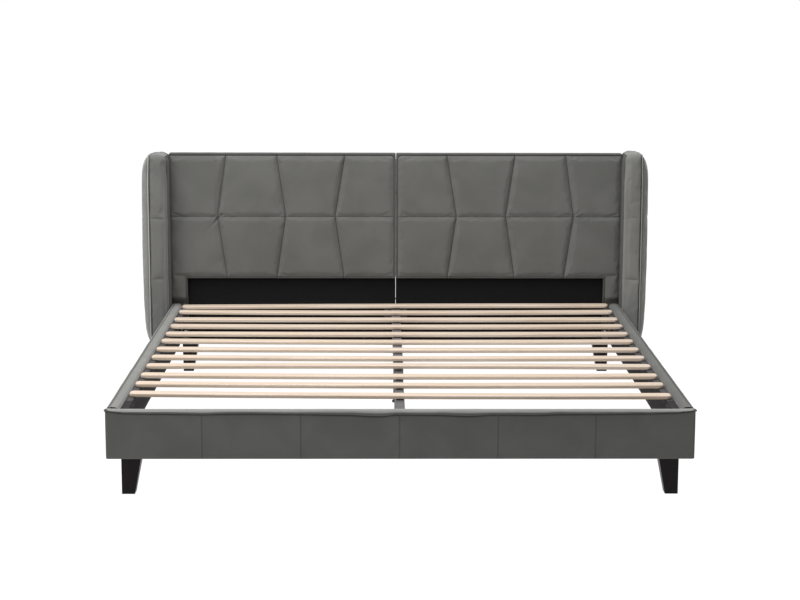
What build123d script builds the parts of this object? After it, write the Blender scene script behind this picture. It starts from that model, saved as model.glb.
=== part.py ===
from build123d import *
import os

os.makedirs("parts", exist_ok=True)

# Mattress that the bed takes, and the room left round it
mattress_width = 1930
mattress_length = 2030
side_room = 12.5
end_room = 15

# Fits between pieces, and how far a cut runs past a face
fit_gap = 0.3
slide_gap = 0.5
thread_gap = 0.25
stem_gap = 0.1
overrun = 10

# Rails: a board in a padded velvet cover, lined in black inside
rail_height = 176
rail_board_thickness = 25
rail_outer_padding = 12
rail_inner_padding = 4.4
rail_top_padding = 15
rail_lining_thickness = 1.5
rail_bow = 3
rail_shoulder_radius = 14
rail_inner_radius = 9
rail_welt_drop = 20
rail_panel_count = 6
seam_width = 2
seam_depth = 1.5

# Legs
leg_height = 146
leg_top_width = 73
leg_foot_width = 46
leg_foot_bevel = 2
leg_side_inset = 41.5
leg_front_inset = 73
leg_back_inset = 3
corner_block_width = 110
corner_block_length = 112
corner_block_height = 40

# Slats and what carries them
slat_count = 12
slat_width = 50
slat_thickness = 14
slat_end_room = 7.5
slat_end_radius = 14
slat_edge_radius = 4.5
slat_foot_inset = 202
slat_head_inset = 23
slat_left_shares = (-0.4, 0.35, -0.1, 0.1, -0.05, 0.2, 0.15, 0.25, 0.25, 0.25, 0.55, 0.65)
slat_right_shares = (0.4, 0.4, 0, 0.05, -0.1, -0.05, -0.1, -0.1, -0.05, -0.1, 0.1, -0.15)
slat_sag_shares = (-0.12, 0.26, 0.08, 0.18, 0.12, 0.27, 0.2, 0.27, -0.18, 0.27, 0.27, 0.27)
webbing_width = 24
webbing_thickness = 1.5
ledger_width = 30
ledger_height = 30

# Centre rail: two steel tubes, the front one sliding in the rear one
rear_tube_width = 38
rear_tube_height = 40
rear_tube_wall = 2.5
front_tube_wall = 2
tube_corner_radius = 3
tube_drop = 4
tube_joint_inset = 768
tube_overlap = 200
bracket_plate_width = 104
bracket_plate_margin = 8
bracket_plate_thickness = 3
bracket_reach = 30

# Centre legs with levelling feet
centre_leg_front_inset = 558
centre_leg_middle_inset = 868
centre_leg_rear_inset = 1458
centre_leg_radius = 15
centre_leg_wall = 2
centre_leg_plug = 20
centre_leg_cap = 4
centre_leg_stud = 12
levelling_foot_radius = 20
levelling_foot_thickness = 8
levelling_foot_chamfer = 1.5
levelling_stem_length = 28
m8_radius = 4

# Headboard: two halves, each a timber frame with a tufted pad over a black board
headboard_height = 1008
pad_bottom_height = 438
headboard_half_gap = 1
pad_edge_gap = 0.5
pad_slab_thickness = 16
pad_rises = (0, 9, 17, 23, 26)
pad_insets = (1.5, 3.5, 8, 17, 31)
pad_top_cover = 12
stile_pad_width = 77.5
stile_pad_lift = 8
tuft_top_shares = (0.225, 0.524, 0.747)
tuft_middle_shares = (0.268, 0.486, 0.786)
tuft_bottom_shares = (0.230, 0.526, 0.748)
tuft_seam_share = 0.5
timber_depth = 40
outer_stile_width = 80
inner_stile_width = 45
cross_timber_height = 60
stud_width = 45
lower_board_thickness = 9
back_panel_thickness = 3
back_panel_lift = 4

# Wings
wing_clearance = 8.5
wing_thickness = 75
wing_reach = 93
wing_rise = 10
wing_lift = 4
wing_top_radius = 45
wing_bottom_radius = 25
wing_inner_radius = 18
wing_front_padding = 16
wing_back_padding = 10
wing_inner_padding = 12
wing_top_padding = 16
wing_timber_thickness = 40
wing_stile_depth = 45
wing_rung_height = 45
wing_rung_count = 5
bulge_rises = (0, 8, 16, 23)
bulge_depth_insets = (2, 6, 18, 48)
bulge_height_insets = (2, 10, 40, 112)
bulge_radii = (40, 38, 34, 28)

# Steel angles that join the side rails to the headboard
angle_thickness = 4
angle_flange = 30
angle_length = 80
angle_rail_bolt_shares = (0.2, 0.55)
angle_height = 90
angle_drop = 16

# Bolts and screws
bolt_head_radius = 6.5
bolt_head_height = 4
corner_bolt_reach = 20
corner_bolt_inset = 26
corner_bolt_rise = 12
rail_bolt_length = 28
angle_bolt_length = 50
angle_bolt_margin = 20
wing_bolt_length = 125
wing_bolt_shares = (0.14, 0.5, 0.88)
join_bolt_shares = (0.22, 0.8)
join_bolt_spare = 6
leg_bolt_radius = 5
leg_bolt_depth = 45
leg_bolt_rise = 35
screw_head_radius = 4
screw_head_height = 2
screw_radius = 2
bracket_screw_length = 20
bracket_screw_margin = 10
ledger_screw_length = 42
ledger_screw_count = 7

# Widths worked out from the mattress outwards
inner_half_width = mattress_width / 2 + side_room
rail_thickness = rail_outer_padding + rail_board_thickness + rail_inner_padding + 2 * fit_gap
outer_half_width = inner_half_width + rail_thickness
side_board_inner = outer_half_width - rail_outer_padding - fit_gap - rail_board_thickness
side_lining_face = side_board_inner - rail_lining_thickness
ledger_inner = side_lining_face - ledger_width
wing_inner = outer_half_width + wing_clearance
headboard_outer = wing_inner - pad_edge_gap
stile_inner = headboard_outer - stile_pad_width

# Depths worked out from the foot end to the back of the headboard
pad_crown = pad_rises[-1]
headboard_depth = pad_crown + pad_slab_thickness + timber_depth + back_panel_thickness
inner_length = mattress_length + end_room
overall_length = rail_thickness + inner_length + headboard_depth
foot_front = -overall_length / 2
foot_inner = foot_front + rail_thickness
foot_board_front = foot_front + rail_outer_padding + fit_gap
foot_board_back = foot_board_front + rail_board_thickness
foot_lining_face = foot_board_back + rail_lining_thickness
headboard_front = foot_inner + inner_length
slab_front = headboard_front + pad_crown
timber_front = slab_front + pad_slab_thickness
timber_back = timber_front + timber_depth
back_face = timber_back + back_panel_thickness
rail_start = foot_inner + fit_gap
rail_end = slab_front - fit_gap

# Heights worked out from the floor up
rail_top = leg_height + rail_height
board_top = rail_top - rail_top_padding - fit_gap
slat_bottom = rail_top - slat_thickness
ledger_top = slat_bottom - webbing_thickness - fit_gap
ledger_bottom = ledger_top - ledger_height
lap_edge = ledger_top + fit_gap
rear_tube_top = slat_bottom - tube_drop
rear_tube_bottom = rear_tube_top - rear_tube_height
front_tube_top = rear_tube_top - rear_tube_wall - slide_gap
front_tube_height = rear_tube_height - 2 * (rear_tube_wall + slide_gap)
front_tube_bottom = front_tube_top - front_tube_height
front_tube_width = rear_tube_width - 2 * (rear_tube_wall + slide_gap)
timber_top = headboard_height - pad_top_cover - fit_gap
seam_height = pad_bottom_height + tuft_seam_share * (headboard_height - pad_bottom_height)

low = (Align.CENTER, Align.CENTER, Align.MIN)
corner = (Align.MIN, Align.MIN, Align.MIN)


def block(x_span, y_span, z_span, mode=Mode.ADD):
    """A box between two limits each way, added to the part in hand or cut from it."""
    with Locations((x_span[0], y_span[0], z_span[0])):
        Box(x_span[1] - x_span[0], y_span[1] - y_span[0], z_span[1] - z_span[0], align=corner, mode=mode)


def bolt(place, length, radius=m8_radius):
    """A bolt with its head on the place's plane and its shank along the plane's normal."""
    with Locations(place):
        Cylinder(radius, length, align=low)
    with Locations(place.offset(-bolt_head_height)):
        Cylinder(bolt_head_radius, bolt_head_height, align=low)


def screw(place, length):
    """A wood screw with a pan head, set like a bolt."""
    with Locations(place):
        Cylinder(screw_radius, length, align=low)
    with Locations(place.offset(-screw_head_height)):
        Cylinder(screw_head_radius, screw_head_height, align=low)


def bore(place, length, radius):
    """A round hole along the place's normal, with room for the shank."""
    with Locations(place):
        Cylinder(radius + thread_gap, length + thread_gap, align=low, mode=Mode.SUBTRACT)


def across(place):
    """The same place on the left side."""
    origin, normal = place.origin, place.z_dir
    return Plane((-origin.X, origin.Y, origin.Z), z_dir=(-normal.X, normal.Y, normal.Z))


def keep(piece, name):
    """Labels a finished piece and writes it."""
    piece.part.label = name
    export_step(piece.part, f"parts/{name}.step")


def keep_pair(piece, name):
    """Writes a piece of the right side and its mirror image on the left."""
    keep(piece, f"{name}_right")
    with BuildPart() as left_piece:
        mirror(piece.part, about=Plane.YZ)
    keep(left_piece, f"{name}_left")


# Places of the bolts and screws on the right side
to_foot = (0, -1, 0)
to_head = (0, 1, 0)
to_right = (1, 0, 0)
block_inner = side_lining_face - corner_block_width
block_back = foot_lining_face + corner_block_length
corner_foot_bolt = Plane(
    (block_inner + corner_bolt_inset, block_back, leg_height + corner_block_height - corner_bolt_rise),
    z_dir=to_foot,
)
corner_side_bolt = Plane(
    (block_inner, foot_lining_face + corner_bolt_inset, leg_height + corner_bolt_rise), z_dir=to_right
)
corner_foot_bolt_length = corner_block_length + corner_bolt_reach
corner_side_bolt_length = corner_block_width + corner_bolt_reach

angle_top = ledger_bottom - angle_drop
angle_bottom = angle_top - angle_height
angle_front = rail_end - angle_length
angle_side_face = side_lining_face - angle_thickness
angle_head_face = rail_end - angle_thickness
angle_inner = side_lining_face - angle_flange
angle_middle = (angle_bottom + angle_top) / 2
angle_bolt_heights = (angle_bottom + angle_bolt_margin, angle_top - angle_bolt_margin)
angle_rail_bolts = [
    Plane((angle_side_face, angle_front + share * angle_length, angle_middle), z_dir=to_right)
    for share in angle_rail_bolt_shares
]
angle_head_bolts = [
    Plane((angle_inner + (angle_flange - angle_thickness) / 2, angle_head_face, height), z_dir=to_head)
    for height in angle_bolt_heights
]

timber_middle = (timber_front + timber_back) / 2
outer_stile_inner = headboard_outer - outer_stile_width
wing_bottom = leg_height + wing_lift
wing_top = headboard_height + wing_rise
bolted_height = timber_top - wing_bottom
wing_bolt_places = [
    Plane((outer_stile_inner, timber_middle, wing_bottom + share * bolted_height), z_dir=to_right)
    for share in wing_bolt_shares
]
inner_stile_outer = headboard_half_gap + inner_stile_width
join_bolt_places = [
    Plane((-inner_stile_outer, timber_middle, wing_bottom + share * bolted_height), z_dir=to_right)
    for share in join_bolt_shares
]
join_bolt_length = 2 * inner_stile_outer + join_bolt_spare

leg_outer = outer_half_width - leg_side_inset
leg_centre_x = leg_outer - leg_top_width / 2
front_leg_y = foot_front + leg_front_inset + leg_top_width / 2
rear_leg_y = back_face - leg_back_inset - leg_top_width / 2
leg_bolt_places = [
    Plane((leg_centre_x, front_leg_y, leg_height - leg_bolt_depth)),
    Plane(((outer_stile_inner + leg_outer) / 2, timber_middle, leg_height - leg_bolt_depth)),
]
leg_bolt_length = leg_bolt_depth + leg_bolt_rise

ledger_middle = ledger_bottom + ledger_height / 2
ledger_screw_step = (rail_end - rail_start) / ledger_screw_count
ledger_screw_places = [
    Plane((ledger_inner, rail_start + (turn + 1 / 2) * ledger_screw_step, ledger_middle), z_dir=to_right)
    for turn in range(ledger_screw_count)
]

bracket_screw_x = bracket_plate_width / 2 - bracket_screw_margin
foot_plate_face = foot_lining_face + bracket_plate_thickness
head_board_face = timber_front - lower_board_thickness
head_plate_face = head_board_face - bracket_plate_thickness
foot_bracket_screws = [
    Plane((x, foot_plate_face, front_tube_bottom + front_tube_height / 2), z_dir=to_foot)
    for x in (-bracket_screw_x, bracket_screw_x)
]
head_bracket_screws = [
    Plane((x, head_plate_face, rear_tube_bottom + rear_tube_height / 2), z_dir=to_head)
    for x in (-bracket_screw_x, bracket_screw_x)
]

# Padded section of a rail: depth from its outer face, and height
with BuildSketch() as rail_section:
    with BuildLine():
        ThreePointArc((rail_bow, leg_height), (0, leg_height + rail_height / 2), (rail_bow, rail_top))
        Polyline(
            (rail_bow, rail_top),
            (rail_thickness, rail_top),
            (rail_thickness, leg_height),
            (rail_bow, leg_height),
        )
    make_face()
    top_vertices = rail_section.vertices().group_by(Axis.Y)[-1].sort_by(Axis.X)
    fillet(top_vertices[1], rail_inner_radius)
    fillet(rail_section.vertices().group_by(Axis.Y)[-1].sort_by(Axis.X)[0], rail_shoulder_radius)

groove_depth = rail_bow + seam_depth
welt_height = rail_top - rail_welt_drop
pocket_depth = (rail_outer_padding, rail_outer_padding + rail_board_thickness + 2 * fit_gap)
pocket_top = board_top + fit_gap

# Foot rail
foot_board_half = outer_half_width - rail_outer_padding - fit_gap
with BuildPart() as foot_rail_board:
    block(
        (-foot_board_half, foot_board_half), (foot_board_front, foot_board_back), (leg_height, board_top)
    )
    for place in (corner_foot_bolt, across(corner_foot_bolt)):
        bore(place, corner_foot_bolt_length, m8_radius)
    for place in foot_bracket_screws:
        bore(place, bracket_screw_length, screw_radius)
keep(foot_rail_board, "foot_rail_board")

with BuildPart() as foot_rail_cover:
    with BuildSketch(Plane((-outer_half_width, foot_front, 0), x_dir=to_head, z_dir=to_right)):
        add(rail_section.sketch)
    extrude(amount=2 * outer_half_width)
    pocket_half = outer_half_width - rail_outer_padding
    block(
        (-pocket_half, pocket_half),
        (foot_front + pocket_depth[0], foot_front + pocket_depth[1]),
        (leg_height - overrun, pocket_top),
        mode=Mode.SUBTRACT,
    )
    window_half = side_lining_face + fit_gap
    block(
        (-window_half, window_half),
        (foot_board_back, foot_inner + overrun),
        (leg_height - overrun, lap_edge),
        mode=Mode.SUBTRACT,
    )
    block(
        (-outer_half_width - overrun, outer_half_width + overrun),
        (foot_front - overrun, foot_front + groove_depth),
        (welt_height - seam_width, welt_height),
        mode=Mode.SUBTRACT,
    )
    panel_width = 2 * outer_half_width / rail_panel_count
    for seam in range(1, rail_panel_count):
        seam_x = -outer_half_width + seam * panel_width
        block(
            (seam_x - seam_width / 2, seam_x + seam_width / 2),
            (foot_front - overrun, foot_front + groove_depth),
            (leg_height - overrun, welt_height),
            mode=Mode.SUBTRACT,
        )
keep(foot_rail_cover, "foot_rail_cover")

with BuildPart() as foot_rail_lining:
    block(
        (-side_lining_face, side_lining_face), (foot_board_back, foot_lining_face), (leg_height, ledger_top)
    )
    for place in (corner_foot_bolt, across(corner_foot_bolt)):
        bore(place, corner_foot_bolt_length, m8_radius)
    for place in foot_bracket_screws:
        bore(place, bracket_screw_length, screw_radius)
keep(foot_rail_lining, "foot_rail_lining")

# Side rails
with BuildPart() as side_rail_board:
    block(
        (side_board_inner, side_board_inner + rail_board_thickness),
        (rail_start, rail_end),
        (leg_height, board_top),
    )
    bore(corner_side_bolt, corner_side_bolt_length, m8_radius)
    for place in angle_rail_bolts:
        bore(place, rail_bolt_length, m8_radius)
    for place in ledger_screw_places:
        bore(place, ledger_screw_length, screw_radius)
keep_pair(side_rail_board, "side_rail_board")

with BuildPart() as side_rail_cover:
    with BuildSketch(Plane((outer_half_width, rail_start, 0), x_dir=(-1, 0, 0), z_dir=to_head)):
        add(rail_section.sketch)
    extrude(amount=rail_end - rail_start)
    block(
        (outer_half_width - pocket_depth[1], outer_half_width - pocket_depth[0]),
        (rail_start - overrun, rail_end + overrun),
        (leg_height - overrun, pocket_top),
        mode=Mode.SUBTRACT,
    )
    block(
        (inner_half_width - overrun, outer_half_width - pocket_depth[0] - fit_gap),
        (rail_start - overrun, rail_end + overrun),
        (leg_height - overrun, lap_edge),
        mode=Mode.SUBTRACT,
    )
    block(
        (outer_half_width - groove_depth, outer_half_width + overrun),
        (rail_start - overrun, rail_end + overrun),
        (welt_height - seam_width, welt_height),
        mode=Mode.SUBTRACT,
    )
keep_pair(side_rail_cover, "side_rail_cover")

with BuildPart() as side_rail_lining:
    block((side_lining_face, side_board_inner), (rail_start, rail_end), (leg_height, ledger_top))
    bore(corner_side_bolt, corner_side_bolt_length, m8_radius)
    for place in angle_rail_bolts:
        bore(place, rail_bolt_length, m8_radius)
    for place in ledger_screw_places:
        bore(place, ledger_screw_length, screw_radius)
keep_pair(side_rail_lining, "side_rail_lining")

with BuildPart() as side_ledger:
    block((ledger_inner, side_lining_face), (rail_start, rail_end), (ledger_bottom, ledger_top))
    for place in ledger_screw_places:
        bore(place, ledger_screw_length, screw_radius)
keep_pair(side_ledger, "side_ledger")

# Corner blocks and legs
with BuildPart() as corner_block:
    block(
        (block_inner, side_lining_face),
        (foot_lining_face, block_back),
        (leg_height, leg_height + corner_block_height),
    )
    bore(corner_foot_bolt, corner_foot_bolt_length, m8_radius)
    bore(corner_side_bolt, corner_side_bolt_length, m8_radius)
    bore(leg_bolt_places[0], leg_bolt_length, leg_bolt_radius)
keep_pair(corner_block, "corner_block")

for end, leg_y, outward, place in (
    ("front", front_leg_y, -1, leg_bolt_places[0]),
    ("rear", rear_leg_y, 1, leg_bolt_places[1]),
):
    taper = (leg_top_width - leg_foot_width) / 2
    with BuildPart() as leg:
        with BuildSketch(Plane((leg_centre_x + taper, leg_y + outward * taper, 0))):
            Rectangle(leg_foot_width, leg_foot_width)
        with BuildSketch(Plane((leg_centre_x, leg_y, leg_height))):
            Rectangle(leg_top_width, leg_top_width)
        loft()
        chamfer(leg.faces().sort_by(Axis.Z)[0].edges(), leg_foot_bevel)
        bore(place, leg_bolt_length, leg_bolt_radius)
    keep_pair(leg, f"leg_{end}")

with BuildPart() as leg_bolts:
    for place in leg_bolt_places:
        for spot in (place, across(place)):
            with Locations(spot):
                Cylinder(leg_bolt_radius, leg_bolt_length, align=low)
keep(leg_bolts, "leg_bolts")

# Slats, each with its own slight skew and sag, and the webbing under their ends
slat_half = inner_half_width - slat_end_room
slat_first_y = foot_inner + slat_foot_inset
slat_step = (headboard_front - slat_head_inset - slat_first_y) / (slat_count - 1)
for turn in range(slat_count):
    left_y = slat_left_shares[turn] * slat_width
    right_y = slat_right_shares[turn] * slat_width
    sag = slat_sag_shares[turn] * slat_thickness
    slat_y = slat_first_y + (slat_count - 1 - turn) * slat_step + (left_y + right_y) / 2
    along = (2 * slat_half, right_y - left_y, 0)
    with BuildPart() as slat:
        with BuildSketch(Plane((0, slat_y, slat_bottom), x_dir=along, z_dir=(along[1], -along[0], 0))):
            with BuildLine():
                ThreePointArc((-slat_half, 0), (0, -sag), (slat_half, 0))
                Line((slat_half, 0), (slat_half, slat_thickness))
                ThreePointArc(
                    (slat_half, slat_thickness), (0, slat_thickness - sag), (-slat_half, slat_thickness)
                )
                Line((-slat_half, slat_thickness), (-slat_half, 0))
            make_face()
        extrude(amount=slat_width / 2, both=True)
        fillet(slat.edges().filter_by(Axis.Z), slat_end_radius)
        faces_upwards = slat.faces().sort_by(Axis.Z)
        fillet(faces_upwards[0].edges() + faces_upwards[-1].edges(), slat_edge_radius)
    keep(slat, f"slat_{turn + 1:02d}")

with BuildPart() as slat_webbing:
    block(
        (ledger_inner, ledger_inner + webbing_width),
        (slat_first_y - slat_width, rail_end),
        (ledger_top, ledger_top + webbing_thickness),
    )
keep_pair(slat_webbing, "slat_webbing")

# Centre rail
tube_joint = foot_inner + tube_joint_inset
rear_tube_end = head_plate_face - slide_gap
front_tube_start = foot_plate_face + slide_gap
centre_leg_places = {
    "front": foot_inner + centre_leg_front_inset,
    "middle": foot_inner + centre_leg_middle_inset,
    "rear": foot_inner + centre_leg_rear_inset,
}
rear_tube_middle = rear_tube_bottom + rear_tube_height / 2
front_tube_middle = front_tube_bottom + front_tube_height / 2

with BuildPart() as centre_rail_rear:
    with BuildSketch(Plane((0, tube_joint, rear_tube_middle), x_dir=to_right, z_dir=to_foot)):
        RectangleRounded(rear_tube_width, rear_tube_height, tube_corner_radius)
        Rectangle(
            rear_tube_width - 2 * rear_tube_wall, rear_tube_height - 2 * rear_tube_wall, mode=Mode.SUBTRACT
        )
    extrude(amount=tube_joint - rear_tube_end)
    for name in ("middle", "rear"):
        bore(Plane((0, centre_leg_places[name], rear_tube_bottom)), centre_leg_stud, m8_radius)
keep(centre_rail_rear, "centre_rail_rear")

with BuildPart() as centre_rail_front:
    with BuildSketch(Plane((0, front_tube_start, front_tube_middle), x_dir=to_right, z_dir=to_foot)):
        RectangleRounded(front_tube_width, front_tube_height, tube_corner_radius)
        Rectangle(
            front_tube_width - 2 * front_tube_wall,
            front_tube_height - 2 * front_tube_wall,
            mode=Mode.SUBTRACT,
        )
    extrude(amount=front_tube_start - tube_joint - tube_overlap)
    bore(Plane((0, centre_leg_places["front"], front_tube_bottom)), centre_leg_stud, m8_radius)
    bore(Plane((0, centre_leg_places["middle"], rear_tube_bottom)), centre_leg_stud, m8_radius)
keep(centre_rail_front, "centre_rail_front")


def saddle_bracket(wall_face, direction, tube_size, tube_bottom, screws):
    """A plate on the wall with a U-shaped saddle that the tube's end lies in."""
    tube_width, tube_height = tube_size
    plate_face = wall_face + direction * bracket_plate_thickness
    plate = sorted((wall_face, plate_face))
    reach = sorted((wall_face, wall_face + direction * bracket_reach))
    clear = sorted((plate_face, wall_face + direction * (bracket_reach + overrun)))
    inside = tube_width / 2 + slide_gap
    outside = inside + bracket_plate_thickness
    floor = tube_bottom - bracket_plate_thickness
    plate_half = bracket_plate_width / 2
    block((-plate_half, plate_half), plate, (floor - bracket_plate_margin, tube_bottom + tube_height))
    block((-outside, outside), reach, (floor, tube_bottom + tube_height / 2))
    block((-inside, inside), clear, (tube_bottom, tube_bottom + tube_height + overrun), mode=Mode.SUBTRACT)
    for place in screws:
        bore(place, bracket_screw_length, screw_radius)


with BuildPart() as centre_bracket_foot:
    front_tube_size = (front_tube_width, front_tube_height)
    saddle_bracket(foot_lining_face, 1, front_tube_size, front_tube_bottom, foot_bracket_screws)
keep(centre_bracket_foot, "centre_bracket_foot")

with BuildPart() as centre_bracket_head:
    rear_tube_size = (rear_tube_width, rear_tube_height)
    saddle_bracket(head_board_face, -1, rear_tube_size, rear_tube_bottom, head_bracket_screws)
keep(centre_bracket_head, "centre_bracket_head")

# Centre legs, each with a levelling foot that screws down out of it
leg_stop = levelling_foot_thickness + fit_gap
for name, leg_y in centre_leg_places.items():
    leg_top = front_tube_bottom if name == "front" else rear_tube_bottom
    with BuildPart() as centre_leg:
        with Locations((0, leg_y, leg_stop)):
            Cylinder(centre_leg_radius, leg_top - leg_stop, align=low)
            Cylinder(
                centre_leg_radius - centre_leg_wall,
                leg_top - leg_stop - centre_leg_cap,
                align=low,
                mode=Mode.SUBTRACT,
            )
            Cylinder(centre_leg_radius - centre_leg_wall, centre_leg_plug, align=low)
            Cylinder(m8_radius + stem_gap, centre_leg_plug, align=low, mode=Mode.SUBTRACT)
        with Locations((0, leg_y, leg_top)):
            Cylinder(m8_radius, centre_leg_stud, align=low)
    keep(centre_leg, f"centre_leg_{name}")

    with BuildPart() as levelling_foot:
        with Locations((0, leg_y, 0)):
            Cylinder(levelling_foot_radius, levelling_foot_thickness, align=low)
        chamfer(levelling_foot.faces().sort_by(Axis.Z)[-1].edges(), levelling_foot_chamfer)
        with Locations((0, leg_y, levelling_foot_thickness)):
            Cylinder(m8_radius, levelling_stem_length, align=low)
    keep(levelling_foot, f"levelling_foot_{name}")

# Headboard halves, drawn on the right side: stiles, cross timbers and a stud in each
timber_bottom = leg_height
half_span = (headboard_half_gap, headboard_outer)
timber_span = (timber_front, timber_back)
cross_span = (inner_stile_outer + fit_gap, outer_stile_inner - fit_gap)
cross_bottoms = (
    timber_bottom,
    pad_bottom_height - cross_timber_height / 2,
    timber_top - cross_timber_height,
)
stud_middle = (inner_stile_outer + outer_stile_inner) / 2
with BuildPart() as headboard_frame:
    block((headboard_half_gap, inner_stile_outer), timber_span, (timber_bottom, timber_top))
    block((outer_stile_inner, headboard_outer), timber_span, (timber_bottom, timber_top))
    for bottom in cross_bottoms:
        block(cross_span, timber_span, (bottom, bottom + cross_timber_height))
    for below, above in zip(cross_bottoms, cross_bottoms[1:]):
        block(
            (stud_middle - stud_width / 2, stud_middle + stud_width / 2),
            timber_span,
            (below + cross_timber_height + fit_gap, above - fit_gap),
        )
    for place in wing_bolt_places:
        bore(place, wing_bolt_length, m8_radius)
    for place in angle_head_bolts:
        bore(place, angle_bolt_length, m8_radius)
    for place in join_bolt_places:
        bore(place, join_bolt_length, m8_radius)
    for place in head_bracket_screws:
        bore(place, bracket_screw_length, screw_radius)
    bore(leg_bolt_places[1], leg_bolt_length, leg_bolt_radius)
keep_pair(headboard_frame, "headboard_frame")

with BuildPart() as headboard_board:
    block(
        (headboard_half_gap, stile_inner - fit_gap),
        (head_board_face, timber_front),
        (wing_bottom, pad_bottom_height - fit_gap),
    )
    for place in head_bracket_screws:
        bore(place, bracket_screw_length, screw_radius)
keep_pair(headboard_board, "headboard_board")

with BuildPart() as headboard_back:
    block(half_span, (timber_back, back_face), (leg_height + back_panel_lift, timber_top))
keep_pair(headboard_back, "headboard_back")

# Tufted pad: a flat slab over the frame, and eight crowned panels between sewn channels
tuft_rows = (
    (pad_bottom_height, seam_height, tuft_bottom_shares, tuft_middle_shares),
    (seam_height, headboard_height, tuft_middle_shares, tuft_top_shares),
)
stile_pad_bottom = rail_top + stile_pad_lift
pad_panels = []
for row_bottom, row_top, bottom_shares, top_shares in tuft_rows:
    bottom_xs = [headboard_half_gap, *(share * headboard_outer for share in bottom_shares), headboard_outer]
    top_xs = [headboard_half_gap, *(share * headboard_outer for share in top_shares), headboard_outer]
    for column in range(len(bottom_xs) - 1):
        panel = [
            (bottom_xs[column], row_bottom),
            (bottom_xs[column + 1], row_bottom),
            (top_xs[column + 1], row_top),
            (top_xs[column], row_top),
        ]
        if row_bottom == pad_bottom_height and column == len(bottom_shares):
            panel[1:2] = [
                (stile_inner, row_bottom),
                (stile_inner, stile_pad_bottom),
                (headboard_outer, stile_pad_bottom),
            ]
        pad_panels.append(panel)

with BuildPart() as headboard_pad:
    with BuildSketch(Plane.XZ.offset(-timber_front)):
        with BuildLine():
            Polyline(
                (headboard_half_gap, pad_bottom_height),
                (headboard_half_gap, headboard_height),
                (headboard_outer, headboard_height),
                (headboard_outer, leg_height),
                (stile_inner, leg_height),
                (stile_inner, pad_bottom_height),
                close=True,
            )
        make_face()
    extrude(amount=pad_slab_thickness)
    block(half_span, (timber_front, back_face), (timber_top + fit_gap, headboard_height))
    for panel in pad_panels:
        for rise, inset in zip(pad_rises, pad_insets):
            with BuildSketch(Plane.XZ.offset(-(slab_front - rise))):
                with BuildLine():
                    Polyline(*panel, close=True)
                make_face()
                offset(amount=-inset, kind=Kind.INTERSECTION)
        loft()
    for place in angle_head_bolts:
        bore(place, angle_bolt_length, m8_radius)
keep_pair(headboard_pad, "headboard_pad")

# Wings, drawn on the right side: a timber ladder in a padded cover that bulges outwards
wing_front = headboard_front - wing_reach
wing_middle_y = (wing_front + back_face) / 2
wing_middle_z = (wing_bottom + wing_top) / 2
wing_depth = back_face - wing_front
wing_height = wing_top - wing_bottom
ladder_x = (
    wing_inner + wing_inner_padding + fit_gap,
    wing_inner + wing_inner_padding + fit_gap + wing_timber_thickness,
)
ladder_front = wing_front + wing_front_padding + fit_gap
ladder_back = back_face - wing_back_padding - fit_gap
ladder_top = wing_top - wing_top_padding - fit_gap
with BuildPart() as wing_frame:
    block(ladder_x, (ladder_front, ladder_front + wing_stile_depth), (wing_bottom, ladder_top))
    block(ladder_x, (ladder_back - wing_stile_depth, ladder_back), (wing_bottom, ladder_top))
    rung_step = (ladder_top - wing_bottom - wing_rung_height) / (wing_rung_count - 1)
    for rung in range(wing_rung_count):
        block(
            ladder_x,
            (ladder_front + wing_stile_depth + fit_gap, ladder_back - wing_stile_depth - fit_gap),
            (wing_bottom + rung * rung_step, wing_bottom + rung * rung_step + wing_rung_height),
        )
    for place in wing_bolt_places:
        bore(place, wing_bolt_length, m8_radius)
keep_pair(wing_frame, "wing_frame")

with BuildPart() as wing_cover:
    wing_side = Plane((wing_inner, wing_middle_y, wing_middle_z), x_dir=to_head, z_dir=to_right)
    with BuildSketch(wing_side) as outline:
        Rectangle(wing_depth, wing_height)
        bottom_corner, top_corner = outline.vertices().group_by(Axis.Y)[0].sort_by(Axis.Z)
        fillet(top_corner, wing_top_radius)
        fillet(outline.vertices().group_by(Axis.Y)[0].sort_by(Axis.Z)[0], wing_bottom_radius)
    extrude(amount=wing_thickness)
    fillet(wing_cover.faces().sort_by(Axis.X)[0].edges(), wing_inner_radius)
    for rise, depth_inset, height_inset, radius in zip(
        bulge_rises, bulge_depth_insets, bulge_height_insets, bulge_radii
    ):
        with BuildSketch(wing_side.offset(wing_thickness + rise)):
            RectangleRounded(wing_depth - 2 * depth_inset, wing_height - 2 * height_inset, radius)
    loft()
    block(
        (ladder_x[0] - fit_gap, ladder_x[1] + fit_gap),
        (ladder_front - fit_gap, ladder_back + fit_gap),
        (wing_bottom - overrun, ladder_top + fit_gap),
        mode=Mode.SUBTRACT,
    )
    for place in wing_bolt_places:
        bore(place, wing_bolt_length, m8_radius)
keep_pair(wing_cover, "wing_cover")

# Steel angles and the bolts and screws that hold the bed together
with BuildPart() as rail_angle:
    block((angle_side_face, side_lining_face), (angle_front, rail_end), (angle_bottom, angle_top))
    block((angle_inner, side_lining_face), (angle_head_face, rail_end), (angle_bottom, angle_top))
    for place in angle_rail_bolts:
        bore(place, rail_bolt_length, m8_radius)
    for place in angle_head_bolts:
        bore(place, angle_bolt_length, m8_radius)
keep_pair(rail_angle, "rail_angle")

with BuildPart() as rail_bolts:
    bolt(corner_foot_bolt, corner_foot_bolt_length)
    bolt(corner_side_bolt, corner_side_bolt_length)
    for place in angle_rail_bolts:
        bolt(place, rail_bolt_length)
    for place in angle_head_bolts:
        bolt(place, angle_bolt_length)
    mirror(about=Plane.YZ)
keep(rail_bolts, "rail_bolts")

with BuildPart() as headboard_bolts:
    for place in wing_bolt_places:
        bolt(place, wing_bolt_length)
    mirror(about=Plane.YZ)
    for place in join_bolt_places:
        bolt(place, join_bolt_length)
keep(headboard_bolts, "headboard_bolts")

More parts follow.
